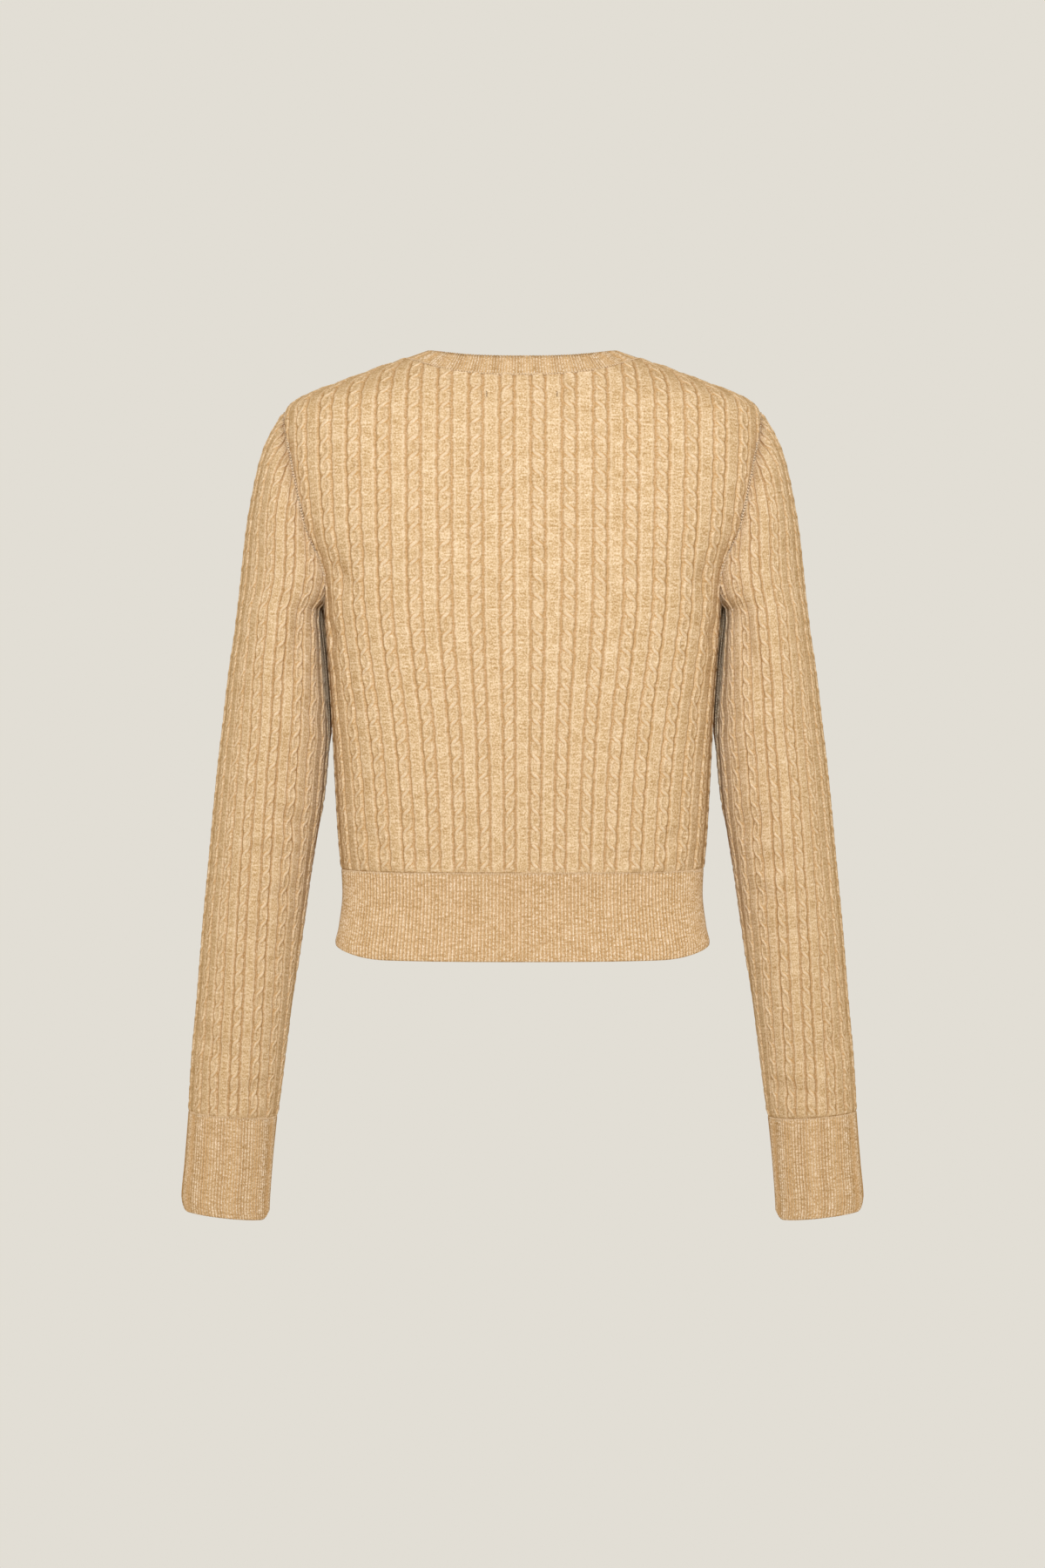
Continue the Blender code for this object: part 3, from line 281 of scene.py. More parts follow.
def cloth_shell(name, surface, heights, columns, low, high, coarse=5, mirrored=False,
                joined=False, bend=None, first_repeat=0):
    """A closed shell of cloth: a fine outside and a coarse inside, cut off at the piece's edges.

    Its points carry where they lie on the cloth, for the knitting: how many repeats across and how
    far up. A joined piece is half of one that is symmetrical, open along its centre line.
    """
    low, high = (np.zeros(len(heights)) + edge for edge in (low, high))
    points, faces, rims, grids = [], [], [], []
    every = np.arange(len(heights))
    coarse_rows = np.unique(np.append(every[::coarse], every[-1]))
    coarse_columns = np.unique(np.append(columns[::coarse], columns[-1]))
    for depth, rows, cols in ((0.0, every, columns), (CLOTH, coarse_rows, coarse_columns)):
        z, lows, highs = heights[rows], low[rows][:, None], high[rows][:, None]
        at = np.clip(cols[None, :], lows, highs)
        first = np.clip(np.searchsorted(cols, low[rows], side="right") - 1, 0, len(cols) - 1)
        last = np.clip(np.searchsorted(cols, high[rows], side="left"), 0, len(cols) - 1)
        zz = np.broadcast_to(z[:, None], at.shape)
        normal = unit(surface.read(surface.normals, at, zz))
        place = surface.read(surface.points, at, zz)
        start = surface.read(surface.run, at, heights[0])
        up = surface.read(surface.run, at, zz) - start
        width = surface.read(surface.width, at, zz)
        edge = np.minimum((at - lows) * width, (highs - at) * width)
        if joined:
            edge = np.where(lows > 1e-6, edge, (highs - at) * width)
        above = surface.read(surface.run, at, heights[-1]) - start - up
        edge = np.minimum(edge, np.minimum(above, up))
        if bend is not None:
            place = place + normal * bend(place)[..., None]
        place = place - normal * depth
        index = len(points) + np.arange(at.size).reshape(at.shape)
        order = np.arange(len(cols))[None, :]
        index = np.take_along_axis(index, np.clip(order, first[:, None], last[:, None]), axis=1)
        points.extend(place.reshape(-1, 3).tolist())
        outside = np.full(at.shape, float(depth == 0.0))
        grids.append({"across": at - first_repeat, "up": up, "repeat": width, "edge": edge,
                      "outside": outside, "outward": normal})
        quads = np.stack([index[:-1, :-1], index[:-1, 1:], index[1:, 1:], index[1:, :-1]], axis=-1)
        for quad in quads.reshape(-1, 4).tolist():
            corners = list(dict.fromkeys(quad))
            if len(corners) > 2:
                faces.append(corners if depth == 0.0 else corners[::-1])
        edges = [[(float(z[k]), int(index[k, j])) for k in range(len(z))] for j in (0, -1)]
        for k in (0, -1):
            run = [(float(at[k, j]), int(index[k, j])) for j in range(len(cols))]
            edges.append([mark for n, mark in enumerate(run) if n == 0 or mark[1] != run[n - 1][1]])
        rims.append(edges)
    for which, (outer, inner) in enumerate(zip(*rims)):
        if joined and which == 0:
            cut = float(heights[np.nonzero(low < 1e-6)[0][-1]])
            outer, inner = ([mark for mark in edge if mark[0] >= cut - 1e-9]
                            for edge in (outer, inner))
            if inner[0][0] > cut + 1e-9:
                inner = [outer_to_inner(points, outer[0], inner)] + inner
        zip_edges(outer, inner, faces)
    mesh = bpy.data.meshes.new(name)
    mesh.from_pydata(points, [], faces)
    for key in grids[0]:
        kind, field = ("FLOAT_VECTOR", "vector") if key == "outward" else ("FLOAT", "value")
        values = np.concatenate([grid[key].ravel() for grid in grids]).astype(np.float32)
        mesh.attributes.new(key, kind, "POINT").data.foreach_set(field, values)
    return finish_shell(name, mesh, mirrored, joined)


def finish_shell(name, mesh, mirrored, joined):
    """Loose points out, the mirror half added where there is one, and faces turned outwards."""
    shaped = bmesh.new()
    shaped.from_mesh(mesh)
    loose = [vert for vert in shaped.verts if not vert.link_faces]
    bmesh.ops.delete(shaped, geom=loose, context="VERTS")
    turned = shaped.verts[:] if mirrored else []
    if joined:
        whole = shaped.verts[:] + shaped.edges[:] + shaped.faces[:]
        copied = bmesh.ops.duplicate(shaped, geom=whole)["geom"]
        turned = [part for part in copied if isinstance(part, bmesh.types.BMVert)]
    outward = shaped.verts.layers.float_vector["outward"]
    across = shaped.verts.layers.float["across"]
    for vert in turned:
        vert.co.x = -vert.co.x
        vert[across] = -vert[across]
        vert[outward] = (-vert[outward][0], vert[outward][1], vert[outward][2])
    if joined:
        bmesh.ops.remove_doubles(shaped, verts=shaped.verts, dist=1e-6)
    bmesh.ops.recalc_face_normals(shaped, faces=shaped.faces)
    if shaped.calc_volume(signed=True) < 0:
        bmesh.ops.reverse_faces(shaped, faces=shaped.faces)
    shaped.to_mesh(mesh)
    shaped.free()
    mesh.shade_smooth()
    return placed(name, mesh)


def node(tree, kind, inputs=(), **settings):
    """A new node. Each input is set to a value, or linked to a wire, a node or a socket."""
    made = tree.nodes.new(kind)
    for key, value in settings.items():
        setattr(made, key, value)
    for slot, source in dict(inputs).items():
        if isinstance(source, (Wire, bpy.types.Node, bpy.types.NodeSocket)):
            tree.links.new(socket_of(source), made.inputs[slot])
        else:
            made.inputs[slot].default_value = source
    return made


def socket_of(source):
    """The socket of a wire, or a node's first output."""
    if isinstance(source, bpy.types.Node):
        return source.outputs[0]
    return source.socket if isinstance(source, Wire) else source


class Wire:
    """A number in a node tree. Arithmetic on it adds the math nodes."""

    def __init__(self, tree, source):
        self.tree, self.socket = tree, socket_of(source)

    def math(self, operation, *others, clamp=False):
        made = node(self.tree, "ShaderNodeMath", enumerate((self, *others)),
                    operation=operation, use_clamp=clamp)
        return Wire(self.tree, made)

    __add__ = partialmethod(math, "ADD")
    __sub__ = partialmethod(math, "SUBTRACT")
    __mul__ = partialmethod(math, "MULTIPLY")
    __truediv__ = partialmethod(math, "DIVIDE")


def clamped(wire):
    return wire.math("ADD", 0.0, clamp=True)


def bell(wire):
    """A soft hump round zero."""
    return (wire * wire * -1.0).math("EXPONENT")


def geometry_tree(name, inputs):
    """A Geometry Nodes tree with named number inputs: its entry, its exit and the wires."""
    tree = bpy.data.node_groups.new(name, "GeometryNodeTree")
    add = tree.interface.new_socket
    add("Geometry", in_out="INPUT", socket_type="NodeSocketGeometry")
    for label, value in inputs.items():
        add(label, in_out="INPUT", socket_type="NodeSocketFloat").default_value = value
    add("Yarn", in_out="INPUT", socket_type="NodeSocketMaterial")
    add("Geometry", in_out="OUTPUT", socket_type="NodeSocketGeometry")
    entry, leave = tree.nodes.new("NodeGroupInput"), tree.nodes.new("NodeGroupOutput")
    return tree, entry, leave, {label: Wire(tree, entry.outputs[label]) for label in inputs}


def named(tree, label, kind="FLOAT"):
    return node(tree, "GeometryNodeInputNamedAttribute", {"Name": label}, data_type=kind)


def knitting_tree(name, inputs):
    """A tree for knitting, which also has the cloth's own attributes as wires."""
    tree, entry, leave, wires = geometry_tree(name, inputs)
    for label in ("across", "up", "repeat", "edge", "outside"):
        wires[label] = Wire(tree, named(tree, label))
    return tree, entry, leave, wires


def end_tree(tree, entry, leave, geometry):
    """Ends a tree: instances are made real and the yarn is set."""
    real = node(tree, "GeometryNodeRealizeInstances", {"Geometry": geometry})
    dyed = node(tree, "GeometryNodeSetMaterial", {
        "Geometry": real, "Material": entry.outputs["Yarn"]})
    tree.links.new(dyed.outputs[0], leave.inputs["Geometry"])
    return tree


def knit_relief(tree, entry, leave, wires, height):
    """Ends a knitting tree: the outside of the cloth is raised by a height."""
    offset = node(tree, "ShaderNodeVectorMath", {
        0: named(tree, "outward", "FLOAT_VECTOR"), "Scale": height * wires["outside"]},
        operation="SCALE")
    raised = node(tree, "GeometryNodeSetPosition", {"Geometry": entry, "Offset": offset})
    return end_tree(tree, entry, leave, raised)


CABLE_SIZES = {"Crossing pitch": 0.0128, "Crossing share": 0.23, "Strand height": 0.0017,
               "Strand half width": 0.00150, "Strand sway": 0.0030, "Eye height": 0.0008,
               "Groove place": 0.243, "Groove pinch": 0.028, "Groove width": 0.0009,
               "Groove depth": 0.0006, "Strip height": 0.0005, "Strip edge": 0.0003, "Hand": 1.0}
FULL_REPEAT = 0.022
UNEVENNESS, UNEVEN_ACROSS, UNEVEN_UP = 0.0016, 1.3, 40.0
STRAND_BOW = 0.16
EDGE_FADE, SHADE_FADE = 0.0025, 0.003
# Where the raised edge of the strip, which is also painted pale as a highlight, and the painted
# shade line where a strand ends on the other lie, and their half widths
STRIP_EDGE_PLACE, STRIP_EDGE_WIDTH = 2.3, 0.8
BRINK_PLACE, BRINK_WIDTH = 1.05, 0.22


def cable_form(tree, w):
    """Two strands that cross once a crossing pitch, a groove each side and a plain strip between.

    Gives the height above the cloth, how deep the groove is, where one strand ends on the other (a
    thin line of painted shade), and where the strands and the strips' edges catch the light (a
    painted highlight).
    """
    size = w["repeat"] / FULL_REPEAT
    place = node(tree, "ShaderNodeCombineXYZ", {"X": w["across"], "Y": w["up"] * UNEVEN_UP})
    wobble = node(tree, "ShaderNodeTexNoise", {
        "Vector": place, "Scale": UNEVEN_ACROSS, "Detail": 1.0})
    unevenness = (Wire(tree, wobble) - 0.5) * UNEVENNESS
    middle = w["across"].math("ABSOLUTE").math("FRACT") - 0.5
    x = middle * w["repeat"] * w["Hand"] + unevenness
    turn = ((w["up"] + unevenness) / w["Crossing pitch"]).math("FRACT") - 0.5
    swing = (turn / w["Crossing share"]).math("MINIMUM", 1.0).math("MAXIMUM", -1.0)
    swing = swing * (math.pi / 2)
    crossing = swing.math("COSINE")
    bow = (turn * (2 * math.pi)).math("COSINE") * -STRAND_BOW + (1 - STRAND_BOW)
    over = swing.math("SINE") * bow * w["Strand sway"] * size * -1.0
    # a strand keeps its width across its own slant
    length = w["Crossing share"] * w["Crossing pitch"]
    slant = crossing * w["Strand sway"] * (math.pi / 2) / length
    half = (slant * slant * 0.6 + 1.0).math("SQRT") * w["Strand half width"] * size

    def strand(centre):
        away = ((x - centre) / half).math("ABSOLUTE")
        return away, clamped(away * away * -1.0 + 1.0).math("SQRT")

    over_away, top = strand(over)
    _, under = strand(over * -1.0)
    over_height = (crossing * 0.2 + 0.8) * w["Strand height"]
    under_height = (crossing * -0.5 + 0.8) * w["Strand height"]
    edge_of_cable = w["repeat"] * (crossing * w["Groove pinch"] * -1.0 + w["Groove place"])
    past_cable = (x.math("ABSOLUTE") - edge_of_cable) / w["Groove width"] / size
    eye = clamped(past_cable * -0.5) * w["Eye height"]
    cable = (top * over_height).math("MAXIMUM", under * under_height).math("MAXIMUM", eye)
    groove = bell(past_cable)
    strip_edge = bell((past_cable - STRIP_EDGE_PLACE) / STRIP_EDGE_WIDTH)
    strip = clamped(past_cable) * w["Strip height"] + strip_edge * w["Strip edge"]
    # Painted shade: a thin dark line along the edges of the strand on top, where it lies on the
    # other
    brink_shade = bell((over_away - BRINK_PLACE) / BRINK_WIDTH)
    brink_shade = brink_shade * clamped(past_cable * -0.8 - 0.2) * (crossing * 0.9 + 0.1)
    # Painted highlight: the strand tops, the under strand where it comes out, and the strip's
    # raised edge are made pale
    under_highlight = under * 0.4 * (crossing * -1.0 + 1.0)
    pale = (top * (crossing * 0.6 + 0.4)).math("MAXIMUM", under_highlight)
    pale = (pale * clamped(past_cable * -0.8 - 0.4)).math("MAXIMUM", strip_edge * 0.7)
    return cable.math("MAXIMUM", strip) - groove * w["Groove depth"], groove, brink_shade, pale


def cable_tree():
    """The cables as Geometry Nodes: the cloth's outside is raised, and flat again at its edges."""
    tree, entry, leave, w = knitting_tree("cable knit", CABLE_SIZES)
    height = cable_form(tree, w)[0] * clamped(w["edge"] / EDGE_FADE)
    return knit_relief(tree, entry, leave, w, height)


def shaped_by(piece, tree, yarn, sizes):
    """Turns a piece into the plain mesh that a tree makes of it."""
    modifier = piece.modifiers.new(tree.name, "NODES")
    modifier.node_group = tree
    values = dict(sizes, Yarn=yarn)
    for socket in tree.interface.items_tree:
        if socket.in_out == "INPUT" and socket.name in values:
            modifier[socket.identifier] = values[socket.name]
    bpy.context.view_layer.update()
    evaluated = piece.evaluated_get(bpy.context.evaluated_depsgraph_get())
    mesh = bpy.data.meshes.new_from_object(evaluated)
    piece.modifiers.clear()
    old, piece.data = piece.data, mesh
    bpy.data.meshes.remove(old)
    mesh.name = piece.name
    return mesh


def knitted(piece, tree, yarn, sizes=()):
    """The piece with its knitting raised from its surface, and the UV map of its stitches."""
    mesh = shaped_by(piece, tree, yarn, sizes)
    across, up = np.zeros(len(mesh.vertices)), np.zeros(len(mesh.vertices))
    mesh.attributes["across"].data.foreach_get("value", across)
    mesh.attributes["up"].data.foreach_get("value", up)
    corners = np.zeros(len(mesh.loops), int)
    mesh.loops.foreach_get("vertex_index", corners)
    uv = np.stack([across * STITCHES_IN_REPEAT * STITCH_WIDTH, up], axis=1)
    mesh.uv_layers.new(name="stitches").data.foreach_set("uv", uv[corners].ravel())
    mesh.attributes.remove(mesh.attributes["outward"])
    mesh.shade_smooth()
    return piece


def new_material(name, roughness, specular):
    """A material with its tree and its shader."""
    material = bpy.data.materials.new(name)
    material.use_nodes = True
    shader = material.node_tree.nodes["Principled BSDF"]
    shader.inputs["Roughness"].default_value = roughness
    shader.inputs["Specular IOR Level"].default_value = specular
    return material, material.node_tree, shader


def ramp(tree, share, *stops):
    """A colour that goes through stops of (place, colour) as the share rises."""
    made = node(tree, "ShaderNodeValToRGB", {"Fac": share})
    marks = made.color_ramp.elements
    for mark, (place, colour) in ((marks[0], stops[0]), (marks[1], stops[-1])):
        mark.position, mark.color = place, (*colour, 1)
    for place, colour in stops[1:-1]:
        marks.new(place).color = (*colour, 1)
    return made


def finish_yarn(tree, shader, colour, height, strength, distance):
    """Ends a yarn: its colour, and a bump of a height in the given distance."""
    bump = node(tree, "ShaderNodeBump", {
        "Strength": strength, "Distance": distance, "Height": height})
    tree.links.new(bump.outputs["Normal"], shader.inputs["Normal"])
    tree.links.new(socket_of(colour), shader.inputs["Base Color"])


# The groove shade and the deepest shade are painted shade. The light yarn colour is the heather's
# pale end and also the painted highlight on the strands.
GROOVE_SHADE, DEEPEST_SHADE = (0.47, 0.233, 0.070), (0.28, 0.116, 0.028)
YARN_PALE_AND_HIGHLIGHT, YARN_MIDDLE = (0.70, 0.475, 0.245), (0.525, 0.315, 0.128)
# The pale fibre colour is the heather's pale flecks and also the painted highlight on the rib
# crests
YARN_DEEP, PALE_FIBRE_AND_RIB_HIGHLIGHT = (0.36, 0.190, 0.060), (0.80, 0.595, 0.365)
# Flecks of the heather: how many to a metre across, how much finer upwards, and the noise's detail
FINE_FLECKS, STREAKS, CLOUDS = (900.0, 0.8, 2.0), (150.0, 4.0, 3.0), (60.0, 1.4, 2.0)
PALE_FLECKS = (620.0, 1.3, 2.0)
# How strongly each colour is mixed in: the painted highlight on the strands, the painted shade in
# the grooves and at their deepest, the pale flecks, and on the ribs the painted highlight on the
# crests and the painted shade between them; and how much of the form the bump repeats
STRAND_SHINE, GROOVE_DARK, DEEPEST_DARK, PALE_SHARE, RIB_SHARE = 0.55, 0.55, 0.3, 0.6, 0.65
CABLE_BUMP, RIB_BUMP, STITCH_BUMP, LEG_BUMP, FLECK_BUMP = 600.0, 0.3, 0.10, 0.12, 0.5


def heathered_yarn(name, knit="cable", rib_pitch=1.0, hand=1.0):
    """Fine heathered wool: pale and dark fibres carded together, and the small V of each stitch.

    The cables and ribs also get painted highlights on their raised yarn and painted shade in their
    grooves and hollows.
    """
    yarn, tree, shader = new_material(name, roughness=0.92, specular=0.0)
    place = node(tree, "ShaderNodeUVMap", uv_map="stitches")
    split = node(tree, "ShaderNodeSeparateXYZ", {"Vector": place})
    u, v = Wire(tree, split.outputs["X"]), Wire(tree, split.outputs["Y"])

    def flecks(scale, stretch, detail):
        turn = node(tree, "ShaderNodeMapping", {
            "Vector": place, "Scale": (scale, scale * stretch, 1.0)})
        noise = node(tree, "ShaderNodeTexNoise", {
            "Vector": turn, "Scale": 1.0, "Detail": detail, "Roughness": 0.6})
        return Wire(tree, noise) - 0.5

    def attribute(label):
        return Wire(tree, node(tree, "ShaderNodeAttribute", attribute_name=label).outputs["Fac"])

    def mixed(share, first, second):
        mix = node(tree, "ShaderNodeMix", {"Factor": share, "A": first, "B": (*second, 1)},
                   data_type="RGBA")
        return mix.outputs["Result"]

    fine, streak, cloud = flecks(*FINE_FLECKS), flecks(*STREAKS), flecks(*CLOUDS)
    tone = clamped(fine * 2.3 + streak * 1.5 + cloud * 0.7 + 0.5)
    colour = ramp(tree, tone, (0.0, YARN_DEEP), (0.5, YARN_MIDDLE), (1.0, YARN_PALE_AND_HIGHLIGHT))
    colour = mixed(clamped(flecks(*PALE_FLECKS) * 5.0 - 0.55) * PALE_SHARE, colour, PALE_FIBRE_AND_RIB_HIGHLIGHT)
    outside, fade = attribute("outside"), clamped(attribute("edge") / SHADE_FADE)
    if knit == "cable":
        sizes = dict(CABLE_SIZES, across=u / (STITCHES_IN_REPEAT * STITCH_WIDTH), up=v,
                     repeat=attribute("repeat"), Hand=hand)
        height, groove, brink_shade, pale = cable_form(tree, sizes)
        # Painted highlight: the strands and the strips' raised edges are mixed towards the light
        # yarn colour
        colour = mixed(pale * STRAND_SHINE * fade * outside, colour, YARN_PALE_AND_HIGHLIGHT)
        # Painted shade: the grooves and the edge lines of the strands on top are darkened, and the
        # middle of each groove darker still
        shade = clamped(groove * GROOVE_DARK + brink_shade * 1.0)
        colour = mixed(shade * fade * outside, colour, GROOVE_SHADE)
        narrow = groove * groove
        deepest = narrow * narrow * clamped(cloud * 3.0 + 0.45) * DEEPEST_DARK
        colour = mixed(deepest * fade * outside, colour, DEEPEST_SHADE)
        relief = height * CABLE_BUMP * fade
    else:
        wave = (u / rib_pitch * (2 * math.pi)).math("COSINE")
        # Painted highlight: the rib crests are mixed paler, together with the heather's pale flecks
        crest_highlight_and_flecks = clamped(wave * 0.35 + fine * 2.5 + streak * 1.6 - 0.05)
        colour = mixed(crest_highlight_and_flecks * RIB_SHARE * outside, colour, PALE_FIBRE_AND_RIB_HIGHLIGHT)
        # Painted shade: the hollows between the ribs are darkened
        between = clamped(wave * -0.6 + 0.2)
        colour = mixed(between * RIB_SHARE * outside, colour, GROOVE_SHADE)
        relief = wave * RIB_BUMP
    leg = ((u / STITCH_WIDTH).math("FRACT") - 0.5).math("ABSOLUTE")
    slope = ((v / STITCH_HEIGHT + leg * 1.4) * (2 * math.pi)).math("SINE")
    round_leg = (leg * math.pi * 2).math("SINE")
    stitch = relief + slope * STITCH_BUMP + round_leg * LEG_BUMP + fine * FLECK_BUMP
    finish_yarn(tree, shader, colour, stitch, strength=0.7, distance=0.001)
    return yarn


camel_yarn = heathered_yarn("camel heather cable knit")
cable_knit = cable_tree()
surfaces = {1: body_surface(1), -1: body_surface(-1)}


def knit_columns(first, last):
    """Mesh columns of a cable piece: close together on a cable, wider apart on the plain strip."""
    repeat = np.concatenate([[0.0, 0.11, 0.20], np.linspace(0.25, 0.75, 13), [0.80, 0.89]])
    return np.unique(np.concatenate([k + repeat for k in range(first, last)] + [[last]]))


def creases(table):
    """Soft folds pressed into the cloth, in millimetres.

    Each row is a fold's middle, its run, and its half length, half width and depth.
    """
    rows = np.array(table, float)
    middles, runs, sizes = rows[:, 0:3] * 0.001, unit(rows[:, 3:6]), rows[:, 6:9] * 0.001

    def bend(places):
        depth = np.zeros(places.shape[:-1])
        for middle, run, (half_length, half_width, deep) in zip(middles, runs, sizes):
            away = places - middle
            along = away @ run
            aside = np.sqrt(np.maximum((away ** 2).sum(-1) - along ** 2, 0))
            swell = np.exp(-((aside - 1.6 * half_width) / half_width) ** 2) * 0.5
            trough = np.exp(-(aside / half_width) ** 2) - swell
            depth -= deep * np.exp(-(along / half_length) ** 2) * trough
        return depth

    return bend


# Folds of the body: the pull from the underarm, and the cloth that eases in above the hem
BODY_FOLDS = {
    1: ((118, 58, -150, 1.0, 0.2, 0.75, 30, 9, 2.0), (128, 42, -185, 1.0, 0.3, 0.35, 26, 8, 1.8),
        (120, 52, -232, 1.0, 0.2, -0.3, 28, 9, 1.2), (112, 60, -330, 1.0, 0.2, 0.25, 34, 8, 1.5),
        (84, 78, -342, 1.0, 0.1, 0.12, 26, 7, 1.0), (30, 92, -118, 1.0, 0.0, 0.25, 46, 13, 0.9)),
    -1: ((112, -80, -150, 1.0, -0.2, 0.8, 30, 9, 2.2), (124, -60, -190, 1.0, -0.3, 0.3, 26, 8, 1.7),
         (118, -72, -300, 1.0, -0.2, -0.2, 30, 9, 1.3), (96, -82, -338, 1.0, -0.2, 0.2, 34, 8, 1.5),
         (40, -108, -205, 1.0, -0.1, 0.3, 32, 11, 1.1)),
}


def body_panel(name, side, mirrored=False, joined=False):
    """The back, from its right half, or one front."""
    surface = surfaces[side]
    fine = np.linspace(*PANEL_TIP_Z, 400)
    low, high = panel_edges(side, fine)
    top = float(fine[np.nonzero(high - low > LEAST_PANEL_WIDTH)[0][-1]])
    heights = even_heights(surface, BODY_REPEATS - 1.0, HEM_SEAM_Z + EDGE_GAP, top, KNIT_STEP)
    if joined:
        nearest = int(np.argmin(np.abs(heights - NECK_LOW_Z[1])))
        heights[nearest] = NECK_LOW_Z[1] - EDGE_GAP
    low, high = panel_edges(side, heights)
    return cloth_shell(name, surface, heights, knit_columns(0, int(COLUMN_RANGE[1])), low, high,
                       mirrored=mirrored, joined=joined, bend=creases(BODY_FOLDS[side]))


back = knitted(body_panel("back_panel", 1, joined=True), cable_knit, camel_yarn)
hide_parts("back")
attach(back, "root")

# ---- Front panels ----
# Two panels with nine cables each, shaped like the back and with a lower neck. They are linked to
# the back at the shoulders and down the sides, and meet under the button bands.
for label, mirrored in (("left", False), ("right", True)):
    front = body_panel(f"front_panel_{label}", -1, mirrored=mirrored)
    front = knitted(front, cable_knit, camel_yarn)
    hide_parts(f"front_{label}")
    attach(front, "root")

# ---- Sleeves ----
# Two long set-in sleeves of the same cable knit on a smaller repeat, narrowing to the wrist, each
# closed by one seam under the arm. The cap is set into the armhole.
CUFF_SEAM_Z = -0.536
CUFF_BOTTOM_Z = -0.611
SLEEVE_KNIT_STEP = 0.00174
SLEEVE_PITCH = 0.0155
SLEEVE_HALF_REPEATS = 12
CAP_LOW_Z = (-0.052, -0.050)
LEAST_CAP_WIDTH = 0.08
WRIST_SLANT = 0.11
WRIST_SLANT_TOP_Z, WRIST_SLANT_HEIGHT = -0.45, 0.15
WRIST_MIDDLE_X = 0.219
SEAM_SLOT = 0.008

# Sleeve in millimetres: height, outer edge, inner edge below the armpit, half depth, and how far
# forward it hangs
SLEEVE_SECTIONS = (
    (-611.0, 251.5, 188.5, 31.0, 25.0),
    (-604.0, 252.3, 188.4, 31.3, 24.5),
    (-575.0, 249.8, 186.5, 32.0, 22.5),
    (-536.0, 246.6, 182.5, 34.0, 20.0),
    (-500.0, 244.2, 177.4, 35.5, 17.0),
    (-450.0, 239.5, 170.2, 38.0, 13.0),
    (-400.0, 235.2, 163.0, 40.5, 9.5),
    (-350.0, 230.2, 155.4, 43.0, 6.5),
    (-300.0, 225.3, 146.6, 45.5, 4.0),
    (-275.0, 222.6, 143.9, 46.5, 3.0),
    (-250.0, 219.5, 141.9, 47.5, 2.0),
    (-205.0, 214.0, 144.7, 49.5, 1.0),
    (-180.0, 210.0, 147.0, 50.5, 0.5),
    (-170.0, 208.8, 148.0, 50.8, 0.2),
    (-163.0, 207.9, 147.6, 51.0, 0.0),
    (-160.0, 207.5, 145.4, 51.0, 0.0),
    (-128.0, 204.2, 145.0, 51.5, 0.0),
    (-102.0, 201.0, 145.0, 51.5, 0.0),
    (-77.0, 196.5, 145.0, 49.5, 0.0),
    (-57.0, 192.0, 145.0, 44.0, 0.0),
    (-44.0, 187.8, 145.0, 36.0, 0.0),
    (-33.0, 182.4, 145.0, 26.5, 0.0),
    (-25.5, 177.9, 145.0, 17.5, 0.0),
    (-21.0, 175.0, 145.0, 8.0, 0.0),
    (-19.2, 173.0, 145.0, 1.5, 0.0),
)
# Folds of the sleeve: below the armhole, round the elbow and above the cuff. The first, of negative
# depth, is the fullness under the arm that rests behind the body's side.
SLEEVE_FOLDS = (
    (148, -25, -206, 0.0, 0.0, 1.0, 54, 15, -7.5),
    (160, 44, -178, -0.35, 0.3, 1.0, 30, 8, 2.0), (172, 47, -215, -0.5, 0.1, 1.0, 34, 9, 1.4),
    (158, 30, -240, 1.0, 0.9, 0.5, 22, 8, 1.6), (168, 34, -318, 1.0, 0.6, 0.45, 26, 8, 1.9),
    (188, 42, -345, 1.0, 0.3, 0.35, 28, 9, 1.5), (172, 30, -372, 1.0, 0.6, -0.25, 24, 8, 1.7),
    (206, 36, -398, 1.0, 0.0, 0.5, 24, 9, 1.2), (184, 26, -452, 1.0, 0.6, 0.3, 24, 8, 1.4),
    (222, 18, -486, 0.7, -0.5, 0.5, 24, 9, 1.3), (196, 14, -516, 1.0, 0.5, -0.2, 26, 7, 1.4),
    (180, -46, -200, 0.6, -0.3, 1.0, 32, 9, 1.6), (176, -42, -330, 1.0, -0.5, 0.4, 28, 8, 1.8),
    (200, -44, -365, 1.0, -0.2, -0.3, 28, 9, 1.4), (200, -48, -460, 1.0, -0.3, 0.35, 28, 8, 1.5),
    (216, -50, -512, 1.0, -0.2, -0.2, 26, 8, 1.2),
)


def sleeve_row(z):
    """One level of the sleeve, behind and in front: x, y and length from the top line on."""
    outer, inner, depth, forward = (
        float(from_table(SLEEVE_SECTIONS, column, z)) for column in (1, 2, 3, 4))
    halves = []
    for side in (1, -1):
        seam_x, seam_y = inner, 0.0
        if z >= ARMPIT_Z:
            seam_y = float(from_table(ARMHOLE, 1 if side > 0 else 2, z))
            x, y, _ = body_section(side, z)
            seam_x = float(np.interp(-seam_y, -y, x))
        reach = max(depth, seam_y + 0.0012)
        end = math.pi - math.asin(min(seam_y / reach, 1.0))
        angle = np.linspace(0, end, 181)
        x = outer - (outer - seam_x) / (1 - math.cos(end)) * (1 - np.cos(angle))
        y = side * reach * np.sin(angle) - forward
        halves.append((x, y, length_along(x, y)))
    return halves


